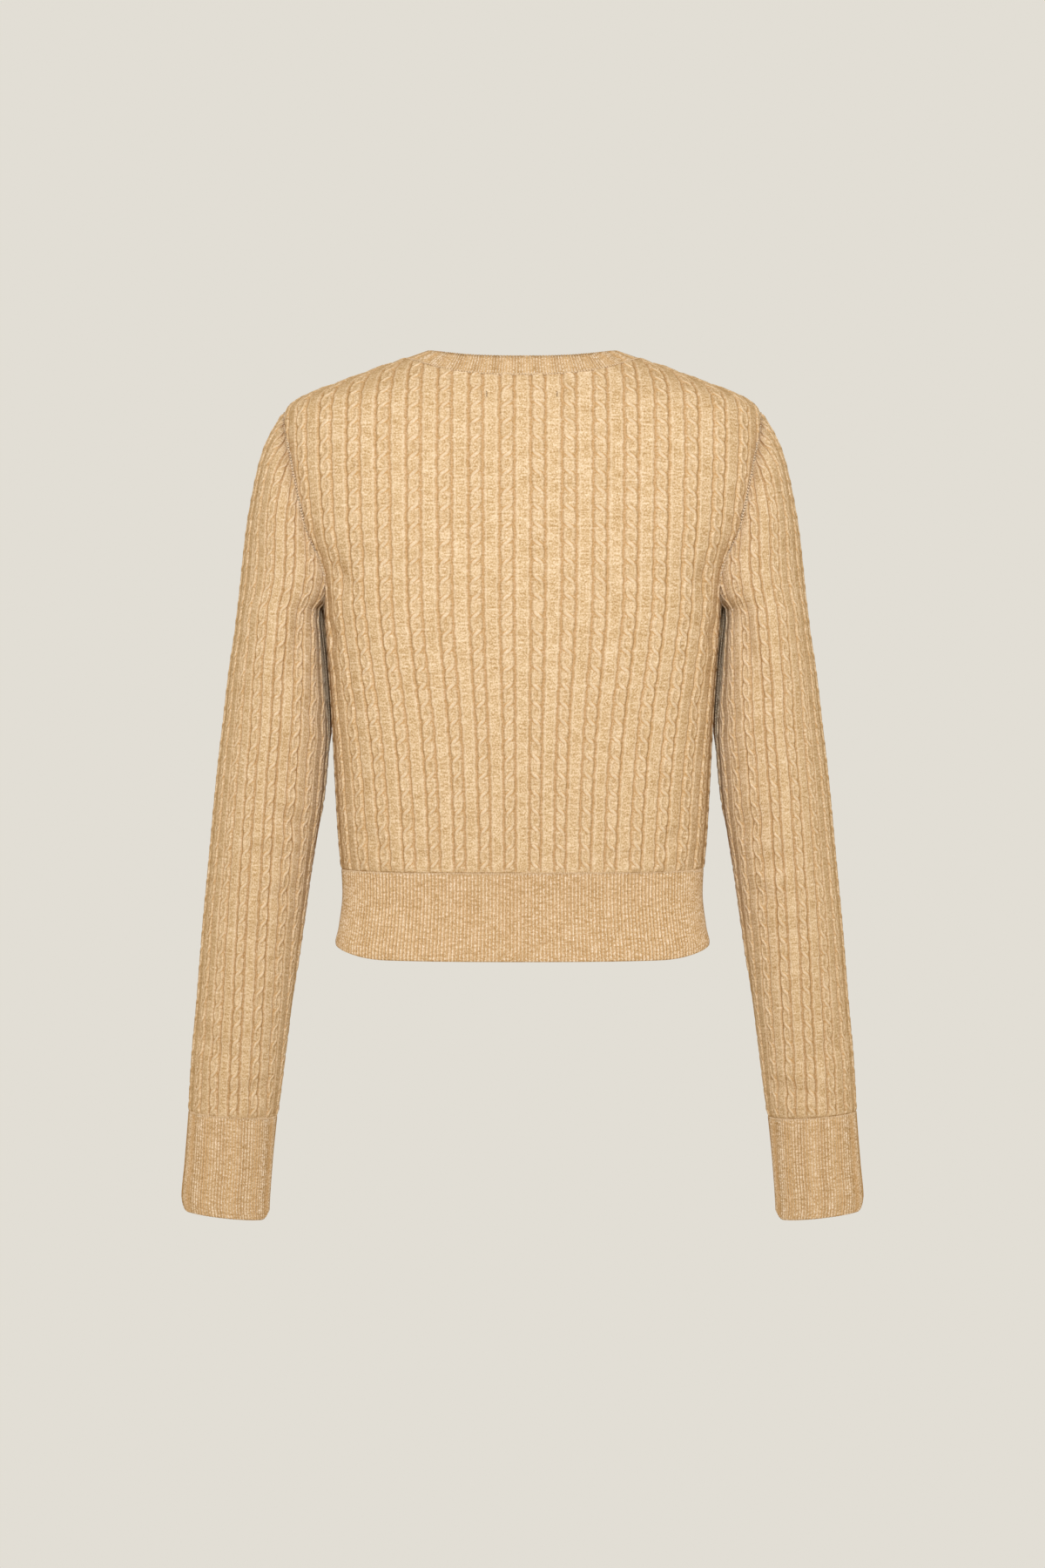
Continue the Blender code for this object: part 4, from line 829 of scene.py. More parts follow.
def sleeve_surface():
    """The sleeve's surface with its two edges: columns count from the top line, positive behind."""
    heights = np.concatenate([
        np.linspace(CUFF_BOTTOM_Z, CAP_LOW_Z[0], 330),
        np.linspace(CAP_LOW_Z[1], SHOULDER_POINT_Z - SEAM_GAP, 90)])
    columns = np.arange(-SLEEVE_HALF_REPEATS, SLEEVE_HALF_REPEATS + 0.01, COLUMN_STEP)
    points = np.zeros((len(heights), len(columns), 3))
    edges = np.zeros((len(heights), 2))
    for row, edge, z in zip(points, edges, heights):
        for half, (x, y, arc) in enumerate(sleeve_row(z)):
            chosen = columns < -1e-9 if half else columns >= -1e-9
            at = np.abs(columns[chosen]) * SLEEVE_PITCH
            past = np.maximum(at - arc[-1], 0)
            onward = unit(np.array([x[-1] - x[-2], y[-1] - y[-2]]))
            row[chosen, 0] = np.interp(at, arc, x) + past * onward[0]
            row[chosen, 1] = np.interp(at, arc, y) + past * onward[1]
            edge[half] = arc[-1] / SLEEVE_PITCH
        slant = WRIST_SLANT * min(max((WRIST_SLANT_TOP_Z - z) / WRIST_SLANT_HEIGHT, 0.0), 1.0)
        row[:, 2] = z + slant * (row[:, 0] - WRIST_MIDDLE_X)
    surface = Surface(heights, columns, points, (1, 0, 0))
    return surface, heights, -edges[:, 1] + SEAM_SLOT, edges[:, 0] - SEAM_SLOT


def sleeve_edges(z):
    """Columns of the sleeve's edges in front and behind, at a height."""
    return np.interp(z, arm_heights, arm_low), np.interp(z, arm_heights, arm_high)


sleeve_yarn = heathered_yarn("camel heather sleeve knit", hand=-1.0)
arm, arm_heights, arm_low, arm_high = sleeve_surface()
arm_top = float(arm_heights[np.nonzero(arm_high - arm_low > LEAST_CAP_WIDTH)[0][-1]])
arm_rows = even_heights(arm, 0.0, CUFF_SEAM_Z + EDGE_GAP, arm_top, SLEEVE_KNIT_STEP)
for label, mirrored in (("left", False), ("right", True)):
    columns = knit_columns(-SLEEVE_HALF_REPEATS, SLEEVE_HALF_REPEATS)
    sleeve = cloth_shell(f"cable_sleeve_{label}", arm, arm_rows, columns, *sleeve_edges(arm_rows),
                         mirrored=mirrored, bend=creases(SLEEVE_FOLDS),
                         first_repeat=-SLEEVE_HALF_REPEATS)
    sleeve = knitted(sleeve, cable_knit, sleeve_yarn, {"Hand": -1.0})
    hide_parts(f"sleeve_{label}")
    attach(sleeve, "root")

# ---- Hem ribs and cuffs ----
# Close one-and-one ribs, knitted on at the lower edges of the panels and the sleeves, drawing them
# in. The lower edge is turned by the knitting itself, so that it is rounded and has no hem.
RIB_SIZES = {"Ribs in repeat": 7.0, "Rib height": 0.0008, "Edge roll": 0.0012}
RIB_COLUMNS = 6
RIB_ROW_STEP = 0.0034
EDGE_ROWS = np.array([0, 0.00015, 0.0004, 0.0008, 0.0013])
EDGE_ROWS_TOP = 0.002
HEM_CORNER_REPEAT = 0.0165
HEM_CORNER_REACH, HEM_CORNER_RISE = 0.060, 0.0075
CUFF_RIBS, CUFF_HALF_REPEATS = 6.0, 7.0
CUFF_CORNER_REACH, CUFF_CORNER_RISE = 0.016, 0.0055
CORNER_HEIGHT = 0.022


def rib_tree():
    """One-and-one ribs as Geometry Nodes, with the lower edge rolled inwards."""
    tree, entry, leave, w = knitting_tree("ribs", RIB_SIZES)
    wave = (w["across"] * w["Ribs in repeat"] * (2 * math.pi)).math("COSINE") * 0.5 + 0.5
    close = clamped(w["up"] / w["Edge roll"] * -1.0 + 1.0)
    roll = (clamped(close * close * -1.0 + 1.0).math("SQRT") - 1.0) * w["Edge roll"]
    return knit_relief(tree, entry, leave, w, wave.math("SQRT") * w["Rib height"] + roll)


def rib_rows(surface, column, bottom, top):
    """Mesh rows of a ribbed piece: close together on its rolled edge."""
    rows = even_heights(surface, column, bottom + EDGE_ROWS_TOP, top, RIB_ROW_STEP)
    return np.unique(np.concatenate([bottom + EDGE_ROWS, rows]))


def rib_columns(first, last, ribs):
    return np.linspace(first, last, int(round((last - first) * ribs * RIB_COLUMNS)) + 1)


def turned_up(surface, corner_columns, repeat, reach_round, rise):
    """The surface with its lower edge turned up a little where the cloth folds round."""
    points = surface.points.copy()
    reach = np.min([np.abs(surface.columns - column) for column in corner_columns], axis=0) * repeat
    round_off = 0.5 + 0.5 * np.cos(np.clip(reach / reach_round, 0, 1) * math.pi)
    low = np.clip(1 - (surface.heights - surface.heights[0]) / CORNER_HEIGHT, 0, 1) ** 2
    points[..., 2] += rise * low[:, None] * round_off[None]
    return Surface(surface.heights, surface.columns, points, surface.facing)


one_and_one = rib_tree()
rib_yarn = heathered_yarn("camel heather rib", knit="rib", rib_pitch=STITCHES_IN_REPEAT
                          * STITCH_WIDTH / RIB_SIZES["Ribs in repeat"])
for name, node_name, side, mirrored, area in (
        ("ribbed_hem_back", "hem_rib_back", 1, False, 0.0205),
        ("ribbed_hem_left", "hem_rib_front_left", -1, False, 0.0105),
        ("ribbed_hem_right", "hem_rib_front_right", -1, True, 0.0105)):
    lower = turned_up(surfaces[side], (BODY_REPEATS,), HEM_CORNER_REPEAT, HEM_CORNER_REACH,
                      HEM_CORNER_RISE)
    rows = rib_rows(lower, 4.0, HEM_BOTTOM_Z, HEM_SEAM_Z - EDGE_GAP)
    columns = rib_columns(0.0, BODY_REPEATS, RIB_SIZES["Ribs in repeat"])
    welt = cloth_shell(name, lower, rows, columns, 0.0, BODY_REPEATS, mirrored=mirrored,
                       joined=side > 0)
    welt = knitted(welt, one_and_one, rib_yarn)
    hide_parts(node_name)
    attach(welt, "root")

for label, mirrored in (("left", False), ("right", True)):
    corners = (0.0, float(arm_low[0]), float(arm_high[0]))
    wrist = turned_up(arm, corners, SLEEVE_PITCH, CUFF_CORNER_REACH, CUFF_CORNER_RISE)
    rows = rib_rows(wrist, 0.0, CUFF_BOTTOM_Z, CUFF_SEAM_Z - EDGE_GAP)
    columns = rib_columns(-CUFF_HALF_REPEATS, CUFF_HALF_REPEATS, CUFF_RIBS)
    cuff = cloth_shell(f"ribbed_cuff_{label}", wrist, rows, columns, *sleeve_edges(rows),
                       mirrored=mirrored)
    cuff = knitted(cuff, one_and_one, rib_yarn, {"Ribs in repeat": CUFF_RIBS})
    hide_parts(f"cuff_{label}")
    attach(cuff, "root")

# ---- Neckband ----
# A narrow one-and-one rib, knitted as its own strip and linked to the neck edge of the back and the
# fronts, from one button band round to the other.
NECKBAND_HEIGHT = 0.016
NECK_REPEAT = 0.015
NECK_RIBS = 6.0
NECK_SPACING = 0.0064
NECK_FRONT_GAP = 0.0008
NECK_SPREAD = 1.15
NECK_FRONT_TURN = 0.03
NECK_LIFT = 0.0002


def neck_seam():
    """Points of the neck seam, from the front edge at +X round the back to the one at -X."""
    halves = []
    for side in (-1, 1):
        start = BAND_HALF + NECK_FRONT_GAP if side < 0 else 0.0
        first = math.asin((start / NECK_HALF_WIDTH) ** NECK_SPREAD)
        half = []
        for x in NECK_HALF_WIDTH * np.sin(np.linspace(first, math.pi / 2, 90)) ** (1 / NECK_SPREAD):
            z = float(neck_seam_height(side, x))
            xs, ys, _ = body_section(side, z)
            half.append((x, side * float(np.interp(x, xs, ys)), z))
        halves.append(half)
    left = halves[0] + halves[1][-2::-1]
    return np.array(left + [(-x, y, z) for x, y, z in left[-2::-1]])


def softened(vectors, times):
    """Directions along a line, evened out with their neighbours."""
    for _ in range(times):
        vectors[1:-1] = unit(vectors[:-2] + 2 * vectors[1:-1] + vectors[2:])
    return unit(vectors)


def neck_frame():
    """The neck seam's points with the cloth's outward and upward directions, and its length."""
    line = neck_seam()
    run = np.concatenate([[0], np.cumsum(np.linalg.norm(np.diff(line, axis=0), axis=1))])
    at = np.linspace(0, run[-1], 2 * int(round(run[-1] / NECK_SPACING / 2)) + 1)
    seam = np.stack([np.interp(at, run, line[:, k]) for k in range(3)], axis=1)
    outward = []
    for x, y, z in seam:
        side = 1 if y > 0 else -1
        xs, _, arc = body_section(side, z)
        c = column_there(side, z, float(np.interp(abs(x), xs, arc)), arc[-1])
        normal = unit(surfaces[side].read(surfaces[side].normals, c, z))
        hand = math.copysign(1.0, x) if abs(x) > 1e-9 else 0.0
        outward.append(normal * np.array([hand, 1.0, 1.0]))
    outward = softened(np.array(outward), 12)
    up = unit(np.cross(unit(np.gradient(seam, axis=0)), outward))
    up = softened(np.where(up[:, 2:3] < 0, -up, up), 6)
    past_band = np.clip((np.abs(seam[:, 0]) - BAND_HALF) / NECK_FRONT_TURN, 0, 1)
    up[:, 0] *= np.where(seam[:, 1] < 0, past_band, 1)
    return seam, outward, unit(up), run[-1]


neck_line, neck_outward, neck_up, neck_length = neck_frame()
neck_heights = np.linspace(0.0, NECKBAND_HEIGHT, 12)
neck_columns = np.linspace(0.0, neck_length / NECK_REPEAT, len(neck_line))
neck_points = neck_line[None] + neck_up[None] * (neck_heights[:, None, None] + NECK_LIFT)
neck_surface = Surface(neck_heights, neck_columns, neck_points, (0, 1, 0.3))
rows = rib_rows(neck_surface, neck_columns[len(neck_columns) // 2], 0.0, NECKBAND_HEIGHT)
columns = rib_columns(0.0, neck_columns[-1], NECK_RIBS)
neckband = cloth_shell("ribbed_neckband", neck_surface, rows, columns, 0.0, neck_columns[-1])
neckband = knitted(neckband, one_and_one, rib_yarn,
                   {"Ribs in repeat": NECK_RIBS, "Edge roll": NECK_LIFT})
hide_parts("neckband")
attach(neckband, "root")

# ---- Button bands ----
# Two upright strips of one-and-one rib, linked to the fronts from the neck to the hem. The wearer's
# right one lies on the other, and has seven upright buttonholes worked over its edges.
BAND_TOP_Z = -0.0462
BAND_LIFT = CLOTH + 0.0008
BAND_RIBS = 5.0


def band_surface(lift):
    """A strip down the front, lifted off the body."""
    heights = np.linspace(HEM_BOTTOM_Z, BAND_TOP_Z, 60)
    columns = np.linspace(-1.0, 1.0, 21)
    points = np.zeros((len(heights), len(columns), 3))
    for row, z in zip(points, heights):
        xs, ys, _ = body_section(-1, z)
        row[:, 0] = columns * BAND_HALF
        row[:, 1] = -np.interp(np.abs(columns) * BAND_HALF, xs, ys) - lift
        row[:, 2] = z
    return Surface(heights, columns, points, (0, -1, 0))


for label, lift in (("left", 0.0), ("right", BAND_LIFT)):
    strip = band_surface(lift)
    rows = rib_rows(strip, 0.0, HEM_BOTTOM_Z, BAND_TOP_Z)
    columns = rib_columns(-1.0, 1.0, BAND_RIBS)
    band = cloth_shell(f"button_band_{label}", strip, rows, columns, -1.0, 1.0)
    band = knitted(band, one_and_one, rib_yarn, {"Ribs in repeat": BAND_RIBS})
    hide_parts(f"band_{label}")
    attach(band, "root")

# ---- Linked seams ----
# The panels, sleeves and bands are linked loop by loop in the same yarn: from outside, thin raised
# lines of slanting stitches in two rows. Single rows run where the ribs begin, down the sides and
# under the arms, and two small dark tacks lie below the neck seam. The armhole's raised line is
# painted paler than the rest, as a highlight.
STITCH_SIZES = {"Stitch pitch": 0.0021, "Stitch length": 0.0026, "Stitch width": 0.0009,
                "Row spacing": 0.0008, "Slant": 0.45, "Lift": 0.0006}
RIDGE_SIZES = {"Lift": 0.0018, "Stitch width": 0.0010, "Row spacing": 0.0009}
SIDE_SIZES = {"Slant": 0.0, "Lift": 0.0002}
UNDERARM_SIZES = {"Slant": 0.0, "Lift": 0.0001}
NECK_STITCH_SIZES = {"Stitch length": 0.0022, "Slant": 0.3}
RIB_START_SIZES = {"Stitch width": 0.0012, "Slant": 1.45, "Lift": -0.0001}
TACK_SIZES = {"Stitch pitch": 0.0012, "Stitch length": 0.0016, "Stitch width": 0.0006, "Slant": 0.2}
TACK_X, TACK_Z, TACK_HALF_LENGTH = 0.0252, -0.0108, 0.0014
SEAM_END_GAP = 0.001
RIB_START_LIFT, TACK_LIFT = 0.0001, 0.0013


def stitch_tree(name, sides):
    """Stitches along a line as Geometry Nodes: one or two rows of short slanting loops."""
    tree, entry, leave, w = geometry_tree(name, STITCH_SIZES)

    def vectors(operation, inputs):
        return node(tree, "ShaderNodeVectorMath", inputs, operation=operation)

    line = node(tree, "GeometryNodeMeshToCurve", {"Mesh": entry})
    even = node(tree, "GeometryNodeResampleCurve", {"Curve": line, "Length": w["Stitch pitch"]},
                mode="LENGTH")
    outward, along = named(tree, "outward", "FLOAT_VECTOR"), node(tree, "GeometryNodeInputTangent")
    across = vectors("CROSS_PRODUCT", {0: outward, 1: along})
    facing = node(tree, "FunctionNodeAlignRotationToVector", {"Vector": outward}, axis="Z")
    facing = node(tree, "FunctionNodeAlignRotationToVector", {
        "Rotation": facing, "Vector": along}, axis="X", pivot_axis="Z")
    ball = node(tree, "GeometryNodeMeshUVSphere", {"Segments": 6, "Rings": 4, "Radius": 0.5})
    size = node(tree, "ShaderNodeCombineXYZ", {
        "X": w["Stitch length"], "Y": w["Stitch width"], "Z": w["Stitch width"]})
    whole = node(tree, "GeometryNodeJoinGeometry")
    for side in sides:
        turn = node(tree, "FunctionNodeAxisAngleToRotation", {
            "Axis": (0.0, 0.0, 1.0), "Angle": w["Slant"] * float(side)})
        slanted = node(tree, "FunctionNodeRotateRotation", {
            "Rotation": facing, "Rotate By": turn}, rotation_space="LOCAL")
        aside = vectors("SCALE", {0: across, "Scale": w["Row spacing"] * (0.5 * side)})
        lifted = vectors("SCALE", {0: outward, "Scale": w["Lift"]})
        row = node(tree, "GeometryNodeSetPosition", {
            "Geometry": even, "Offset": vectors("ADD", {0: aside, 1: lifted})})
        stitches = node(tree, "GeometryNodeInstanceOnPoints", {
            "Points": row, "Instance": ball, "Rotation": slanted, "Scale": size})
        tree.links.new(stitches.outputs[0], whole.inputs["Geometry"])
    real = node(tree, "GeometryNodeRealizeInstances", {"Geometry": whole})
    soft = node(tree, "GeometryNodeSetShadeSmooth", {"Geometry": real})
    return end_tree(tree, entry, leave, soft)


def stitched(name, tree, yarn, lines, sizes=()):
    """Stitches along lines of (points, outward directions), as one plain mesh."""
    points, edges, outward = [], [], []
    for places, directions in lines:
        start = len(points)
        points += [tuple(place) for place in places]
        outward += [value for direction in directions for value in direction]
        edges += [(start + k, start + k + 1) for k in range(len(places) - 1)]
    mesh = bpy.data.meshes.new(name)
    mesh.from_pydata(points, edges, [])
    mesh.attributes.new("outward", "FLOAT_VECTOR", "POINT").data.foreach_set("vector", outward)
    seam = placed(name, mesh)
    shaped_by(seam, tree, yarn, sizes)
    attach(seam, "root")
    return seam


def linking_yarn(name, colour, pale):
    """The yarn of the seams: twisted heather, seen close."""
    yarn, tree, shader = new_material(name, roughness=0.9, specular=0.0)
    place = node(tree, "ShaderNodeTexCoord").outputs["Object"]
    twist = node(tree, "ShaderNodeTexNoise", {"Vector": place, "Scale": 900.0, "Detail": 2.0})
    twisted = ramp(tree, twist, (0.35, colour), (0.65, pale))
    finish_yarn(tree, shader, twisted, twist, strength=0.4, distance=0.0004)
    return yarn


def surface_line(surface, columns, heights, sign=1, lift=0.0):
    """A line on a surface with its outward directions, mirrored to -X when sign is -1."""
    columns, heights = np.broadcast_arrays(columns, heights)
    flip = np.array([sign, 1.0, 1.0])
    outward = unit(surface.read(surface.normals, columns, heights))
    return (surface.read(surface.points, columns, heights) + outward * lift) * flip, outward * flip


def facing_x(line, direction):
    """The line with all its outward directions along X."""
    return line[0], np.tile([float(direction), 0.0, 0.0], (len(line[0]), 1))


seam_yarn = linking_yarn("linking yarn", (0.46, 0.27, 0.108), (0.62, 0.41, 0.205))
# Painted highlight: the armhole ridge is the same linking yarn, made paler where its raised line
# catches the light
ridge_highlight_yarn = linking_yarn("armhole ridge highlight yarn", (0.54, 0.345, 0.145), (0.72, 0.50, 0.270))
# The dark thread is the tacks' own colour, and is also laid along the buttonhole slits as painted
# shade
tack_and_slit_shade_yarn = linking_yarn("tacking thread and slit shade", (0.085, 0.040, 0.015), (0.18, 0.09, 0.035))
double_row, single_row = stitch_tree("linked seam", (1, -1)), stitch_tree("single row", (1,))
arm_rise = 0.5 - 0.5 * np.cos(np.linspace(0.02, math.pi, 160))
arm_z = ARMPIT_Z + (SHOULDER_POINT_Z - ARMPIT_Z - 2 * SEAM_GAP) * arm_rise
side_z = np.linspace(HEM_BOTTOM_Z + HEM_CORNER_RISE + SEAM_END_GAP, ARMPIT_Z, 80)
under_z = np.linspace(CUFF_BOTTOM_Z + CUFF_CORNER_RISE + SEAM_END_GAP, ARMPIT_Z, 120)
top_z = np.linspace(SHOULDER_POINT_Z, NECK_SIDE_Z - 0.0002, 60)
for label, sign in (("left", 1), ("right", -1)):
    halves = []
    for side in (1, -1):
        places, from_body = surface_line(surfaces[side], panel_edges(side, arm_z)[1], arm_z, sign)
        sleeve_edge = sleeve_edges(arm_z)[1 if side > 0 else 0]
        _, from_sleeve = surface_line(arm, sleeve_edge, arm_z, sign)
        halves.append((places, unit(from_body + from_sleeve)))
    loop = [np.concatenate([halves[0][k], halves[1][k][::-1]]) for k in (0, 1)]
    stitched(f"armhole_seam_{label}", double_row, ridge_highlight_yarn, [loop], RIDGE_SIZES)
    side_line = surface_line(surfaces[1], float(BODY_REPEATS), side_z, sign)
    stitched(f"side_seam_{label}", single_row, seam_yarn, [facing_x(side_line, sign)], SIDE_SIZES)
    under_line = surface_line(arm, sleeve_edges(under_z)[1], under_z, sign)
    stitched(f"underarm_seam_{label}", single_row, seam_yarn, [facing_x(under_line, -sign)],
             UNDERARM_SIZES)
    places, _ = surface_line(surfaces[1], panel_edges(1, top_z)[1], top_z, sign)
    rise = np.gradient(places, axis=0)
    outward = unit(np.stack([-rise[:, 2], 0 * rise[:, 0], rise[:, 0]], axis=1))
    outward *= np.where(outward[:, 2:3] < 0, -1, 1)
    stitched(f"shoulder_seam_{label}", double_row, seam_yarn, [(places, outward)])

stitched("neck_seam", double_row, seam_yarn, [(neck_line, neck_outward)], NECK_STITCH_SIZES)
lines = [surface_line(surfaces[side], np.linspace(0.0, BODY_REPEATS, 90), HEM_SEAM_Z, sign,
                      RIB_START_LIFT) for side in (1, -1) for sign in (1, -1)]
stitched("row_above_hem", single_row, seam_yarn, lines,
         dict(RIB_START_SIZES, **{"Stitch pitch": 0.00131}))
lines = [surface_line(arm, np.linspace(*map(float, sleeve_edges(CUFF_SEAM_Z)), 90), CUFF_SEAM_Z,
                      sign, RIB_START_LIFT) for sign in (1, -1)]
stitched("row_above_cuffs", single_row, seam_yarn, lines,
         dict(RIB_START_SIZES, **{"Stitch pitch": 0.00129}))
tack_column = column_there(1, TACK_Z, TACK_X, body_section(1, TACK_Z)[2][-1])
tack_z = TACK_Z + np.linspace(-TACK_HALF_LENGTH, TACK_HALF_LENGTH, 5)
lines = [surface_line(surfaces[1], tack_column, tack_z, sign, TACK_LIFT) for sign in (1, -1)]
stitched("neck_tacks", single_row, tack_and_slit_shade_yarn, lines, TACK_SIZES)
band_z = np.linspace(HEM_BOTTOM_Z + SEAM_END_GAP, BAND_TOP_Z, 120)
for label, sign in (("left", 1), ("right", -1)):
    stitched(f"band_seam_{label}", single_row, seam_yarn,
             [surface_line(surfaces[-1], 0.0, band_z, sign)], {"Slant": 0.2})

# ---- Buttonholes ----
# Seven upright slits in the upper band, each worked round with close buttonhole stitches in the
# same yarn. The slit itself is narrow, marked by a dark strip of painted shade.
BUTTON_COUNT = 7
FIRST_BUTTON_DROP, LAST_BUTTON_RISE = 0.0095, 0.011
BUTTONHOLE_LENGTH = 0.0140
BUTTONHOLE_WIDTH = 0.0016
RIB_TOP = 0.0006
HOLE_STITCH_SIZES = {"Stitch pitch": 0.0007, "Stitch length": 0.0014, "Stitch width": 0.0006,
                     "Slant": 1.57, "Lift": 0.0002}
SLIT_SIZES = {"Stitch pitch": 0.0012, "Stitch length": 0.0018, "Stitch width": 0.0006,
              "Slant": 0.0, "Lift": 0.0}
button_heights = np.linspace(BAND_TOP_Z - FIRST_BUTTON_DROP, HEM_BOTTOM_Z + LAST_BUTTON_RISE,
                             BUTTON_COUNT)
upper_band = band_surface(BAND_LIFT + RIB_TOP)


def band_place(x, z):
    """A point on the upper band's ribs and its outward direction."""
    return surface_line(upper_band, x / BAND_HALF, z)


around = np.linspace(0, 2 * math.pi, 61)
lines = [band_place(BUTTONHOLE_WIDTH * np.sin(around) * 0.5,
                    z + BUTTONHOLE_LENGTH * 0.5 * np.cos(around)) for z in button_heights]
stitched("buttonhole_stitches", single_row, seam_yarn, lines, HOLE_STITCH_SIZES)
# Painted shade: a strip of dark stitches along each slit stands in for the shade in the opening
slit = np.linspace(-0.5, 0.5, 9) * (BUTTONHOLE_LENGTH - 0.001)
lines = [band_place(0.0, z + slit) for z in button_heights]
stitched("buttonhole_slit_shade", single_row, tack_and_slit_shade_yarn, lines, SLIT_SIZES)

# ---- Buttons ----
# Seven four-hole buttons turned from a mottled brown blank, with a raised rim round a sunk face,
# sewn on to the under band with two bars of thread through the holes.
BUTTON_RADIUS = 0.0058
BUTTON_THICKNESS = 0.0026
BUTTON_SINK = 0.0006
BUTTON_SIDES = 48
HOLE_RADIUS = 0.00075
HOLE_APART = 0.0014
HOLE_SIDES = 16
THREAD_RADIUS = 0.00022
THREAD_SIDES = 6
THREAD_RISE, THREAD_DIP = 0.0004, 0.0006
STRAND_APART = 0.00028
# The button's edge from its back to its face: how far inside the radius, and how high
BUTTON_EDGE = (
    (0.0022, 0.0), (0.0009, 0.0), (0.0003, 0.0003), (0.0, 0.0010), (0.0, 0.0016),
    (0.0003, 0.0023), (0.0008, BUTTON_THICKNESS), (0.0013, BUTTON_THICKNESS - 0.0001),
    (0.0018, BUTTON_THICKNESS - 0.0005), (0.0022, BUTTON_THICKNESS - BUTTON_SINK))


def button_mesh():
    """A button lying flat, its face up: rings of points round the disc, with four holes."""
    shaped = bmesh.new()

    def ring(radius, height, sides, x=0.0, y=0.0):
        turns = [2 * math.pi * k / sides for k in range(sides)]
        return [shaped.verts.new((x + radius * math.cos(t), y + radius * math.sin(t), height))
                for t in turns]

    def wall(low, high):
        for k in range(len(low)):
            following = (k + 1) % len(low)
            shaped.faces.new((low[k], low[following], high[following], high[k]))

    rings = [ring(BUTTON_RADIUS - inset, height, BUTTON_SIDES) for inset, height in BUTTON_EDGE]
    for low, high in zip(rings[:-1], rings[1:]):
        wall(low, high)
    holes = []
    for height, rim in ((0.0, rings[0]), (BUTTON_THICKNESS - BUTTON_SINK, rings[-1])):
        edges = [shaped.edges.get((rim[k - 1], rim[k])) for k in range(BUTTON_SIDES)]
        holes.append([])
        for quarter in range(4):
            turn = math.pi / 4 + quarter * math.pi / 2
            circle = ring(HOLE_RADIUS, height, HOLE_SIDES, HOLE_APART * math.cos(turn),
                          HOLE_APART * math.sin(turn))
            edges += [shaped.edges.new((circle[k - 1], circle[k])) for k in range(HOLE_SIDES)]
            holes[-1].append(circle)
        bmesh.ops.triangle_fill(shaped, use_beauty=True, edges=edges)
    for low, high in zip(*holes):
        wall(low, high)
    bmesh.ops.recalc_face_normals(shaped, faces=shaped.faces)
    mesh = bpy.data.meshes.new("button")
    shaped.to_mesh(mesh)
    shaped.free()
    mesh.shade_smooth()
    mesh.set_sharp_from_angle(angle=math.radians(40))
    return mesh


def mottled_brown():
    """A polished blank of cloudy brown with paler veins."""
    horn, tree, shader = new_material("mottled brown button", roughness=0.46, specular=0.35)
    place = node(tree, "ShaderNodeTexCoord").outputs["Object"]
    stretch = node(tree, "ShaderNodeMapping", {"Vector": place, "Scale": (160.0, 160.0, 420.0)})
    cloud = node(tree, "ShaderNodeTexNoise", {
        "Vector": stretch, "Scale": 1.0, "Detail": 4.0, "Distortion": 1.2})
    brown = ramp(tree, cloud, (0.32, (0.13, 0.058, 0.022)), (0.52, (0.27, 0.135, 0.055)),
                 (0.72, (0.44, 0.26, 0.12)))
    tree.links.new(brown.outputs["Color"], shader.inputs["Base Color"])
    return horn


def add_threads(points, faces, centre, right, upward, outward):
    """Adds two bars of three threads each over a button's holes, each a bent tube."""
    bar_out, rings = HOLE_APART * 0.7071, 9
    face = BUTTON_THICKNESS - BUTTON_SINK
    for bar, strand in ((bar, strand) for bar in (-1, 1) for strand in (-1, 0, 1)):
        first = len(points)
        for t in np.linspace(-1, 1, rings):
            height = face + THREAD_RISE * (1 - t ** 4) - THREAD_DIP * t ** 8
            place = (centre + right * (bar * bar_out + strand * STRAND_APART)
                     + upward * (bar_out * t) + outward * height)
            for k in range(THREAD_SIDES):
                angle = 2 * math.pi * k / THREAD_SIDES
                spoke = right * math.cos(angle) + outward * math.sin(angle)
                points.append(tuple(place + spoke * THREAD_RADIUS))
        for start in range(first, first + (rings - 1) * THREAD_SIDES, THREAD_SIDES):
            for k in range(THREAD_SIDES):
                a, b = start + k, start + (k + 1) % THREAD_SIDES
                faces.append((a, b, b + THREAD_SIDES, a + THREAD_SIDES))
        end = first + (rings - 1) * THREAD_SIDES
        faces += [tuple(range(first + THREAD_SIDES - 1, first - 1, -1)),
                  tuple(range(end, end + THREAD_SIDES))]


button_brown = mottled_brown()
button_blank = button_mesh()
thread_points, thread_faces = [], []
for k, z in enumerate(button_heights):
    _, outward = band_place(0.0, float(z))
    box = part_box(f"button_{k + 1}")
    right = np.array([1.0, 0.0, 0.0])
    upward = np.cross(outward, right)
    centre = (np.array(box[0]) + np.array(box[1])) / 2 - outward * (BUTTON_THICKNESS / 2)
    mesh = button_blank.copy()
    for vert in mesh.vertices:
        x, y, height = vert.co
        vert.co = centre + right * x + upward * y + outward * height
    mesh.materials.append(button_brown)
    button = placed(f"turned_button_{k + 1}", mesh)
    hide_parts(f"button_{k + 1}")
    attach(button, "root")
    add_threads(thread_points, thread_faces, centre, right, upward, outward)
bpy.data.meshes.remove(button_blank)
thread_mesh = bpy.data.meshes.new("button_threads")
thread_mesh.from_pydata(thread_points, [], thread_faces)
thread_mesh.shade_smooth()
thread_mesh.materials.append(seam_yarn)
threads = placed("button_threads", thread_mesh)
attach(threads, "root")

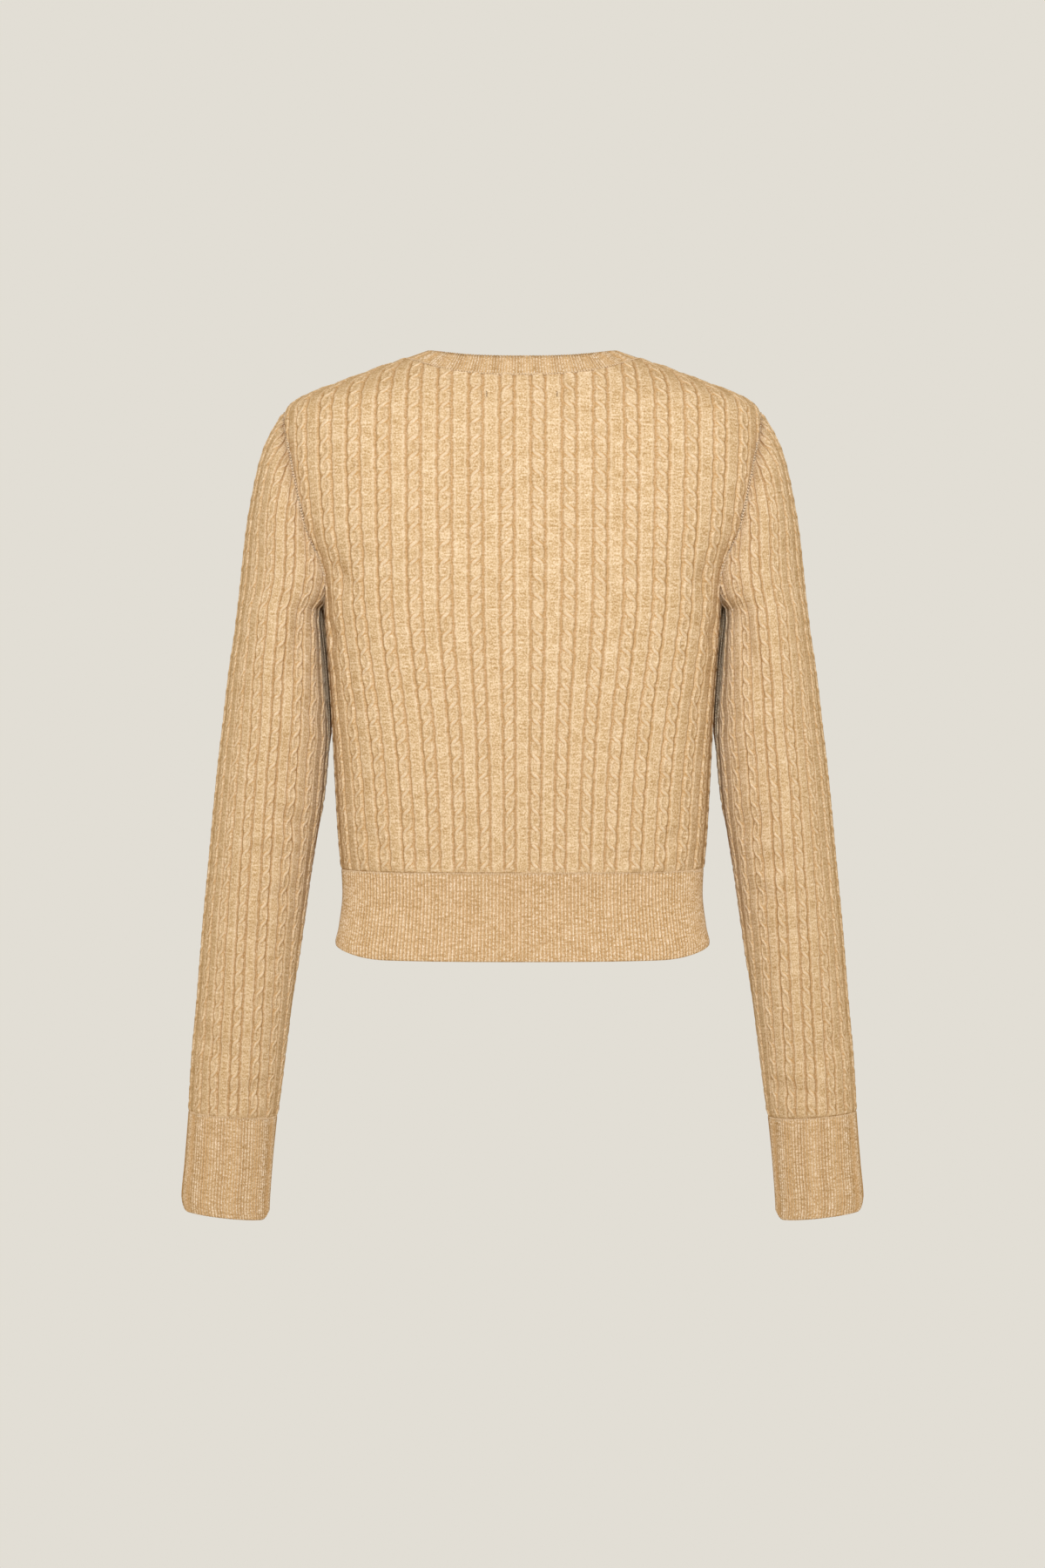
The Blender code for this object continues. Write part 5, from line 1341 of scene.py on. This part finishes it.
# ---- Camera, light and stage ----
# A pale studio with a pale floor, a small soft lamp behind and one in front, and the camera behind
# the cardigan, a little above its middle.
PALE = (0.760, 0.730, 0.665)
CAMERA_DISTANCE = 3.2
CAMERA_RISE = math.radians(1.3)
FRAME_HEIGHT = 1.152
SENSOR_WIDTH = 36.0
AIM = (0.0, 0.0, -0.2915)
LAMP_SIZE, LAMP_DISTANCE, LAMP_Z = 0.6, 2.1, 0.35
FLOOR_RADIUS, FLOOR_Z, FLOOR_SIDES = 0.55, -1.15, 96

world = bpy.data.worlds.new("pale studio")
world.use_nodes = True
world.node_tree.nodes["Background"].inputs["Color"].default_value = (*PALE, 1)
world.node_tree.nodes["Background"].inputs["Strength"].default_value = 1.0
bpy.context.scene.world = world
bpy.context.scene.view_settings.view_transform = "Standard"

for name, side, power, colour in (("behind", 1, 40.0, (1.02, 1.32, 2.05)),
                                  ("front", -1, 38.0, (1.0, 1.10, 1.30))):
    lamp = bpy.data.lights.new(f"soft_light_{name}", "AREA")
    lamp.shape, lamp.size, lamp.size_y = "RECTANGLE", LAMP_SIZE, LAMP_SIZE
    lamp.energy, lamp.color = power, colour
    light = placed(lamp.name, lamp)
    light.location = (0.0, LAMP_DISTANCE * side, LAMP_Z)
    light.rotation_euler = (Vector(AIM) - light.location).to_track_quat("-Z", "Y").to_euler()

floor_mesh = bpy.data.meshes.new("floor")
turns = [2 * math.pi * k / FLOOR_SIDES for k in range(FLOOR_SIDES)]
rim = [(FLOOR_RADIUS * math.cos(t), FLOOR_RADIUS * math.sin(t), FLOOR_Z) for t in turns]
floor_mesh.from_pydata(rim, [], [tuple(range(FLOOR_SIDES))])
floor = placed("floor", floor_mesh)
floor_paint, _, shader = new_material("pale floor", roughness=0.5, specular=0.5)
shader.inputs["Base Color"].default_value = (0.46, 0.385, 0.285, 1)
floor_mesh.materials.append(floor_paint)

view = bpy.data.cameras.new("camera")
view.sensor_width = SENSOR_WIDTH
view.lens = SENSOR_WIDTH * CAMERA_DISTANCE / FRAME_HEIGHT
camera = placed("camera", view)
camera.location = (AIM[0], CAMERA_DISTANCE * math.cos(CAMERA_RISE),
                   AIM[2] + CAMERA_DISTANCE * math.sin(CAMERA_RISE))
camera.rotation_euler = (math.pi / 2 - CAMERA_RISE, 0.0, math.pi)
bpy.context.scene.camera = camera
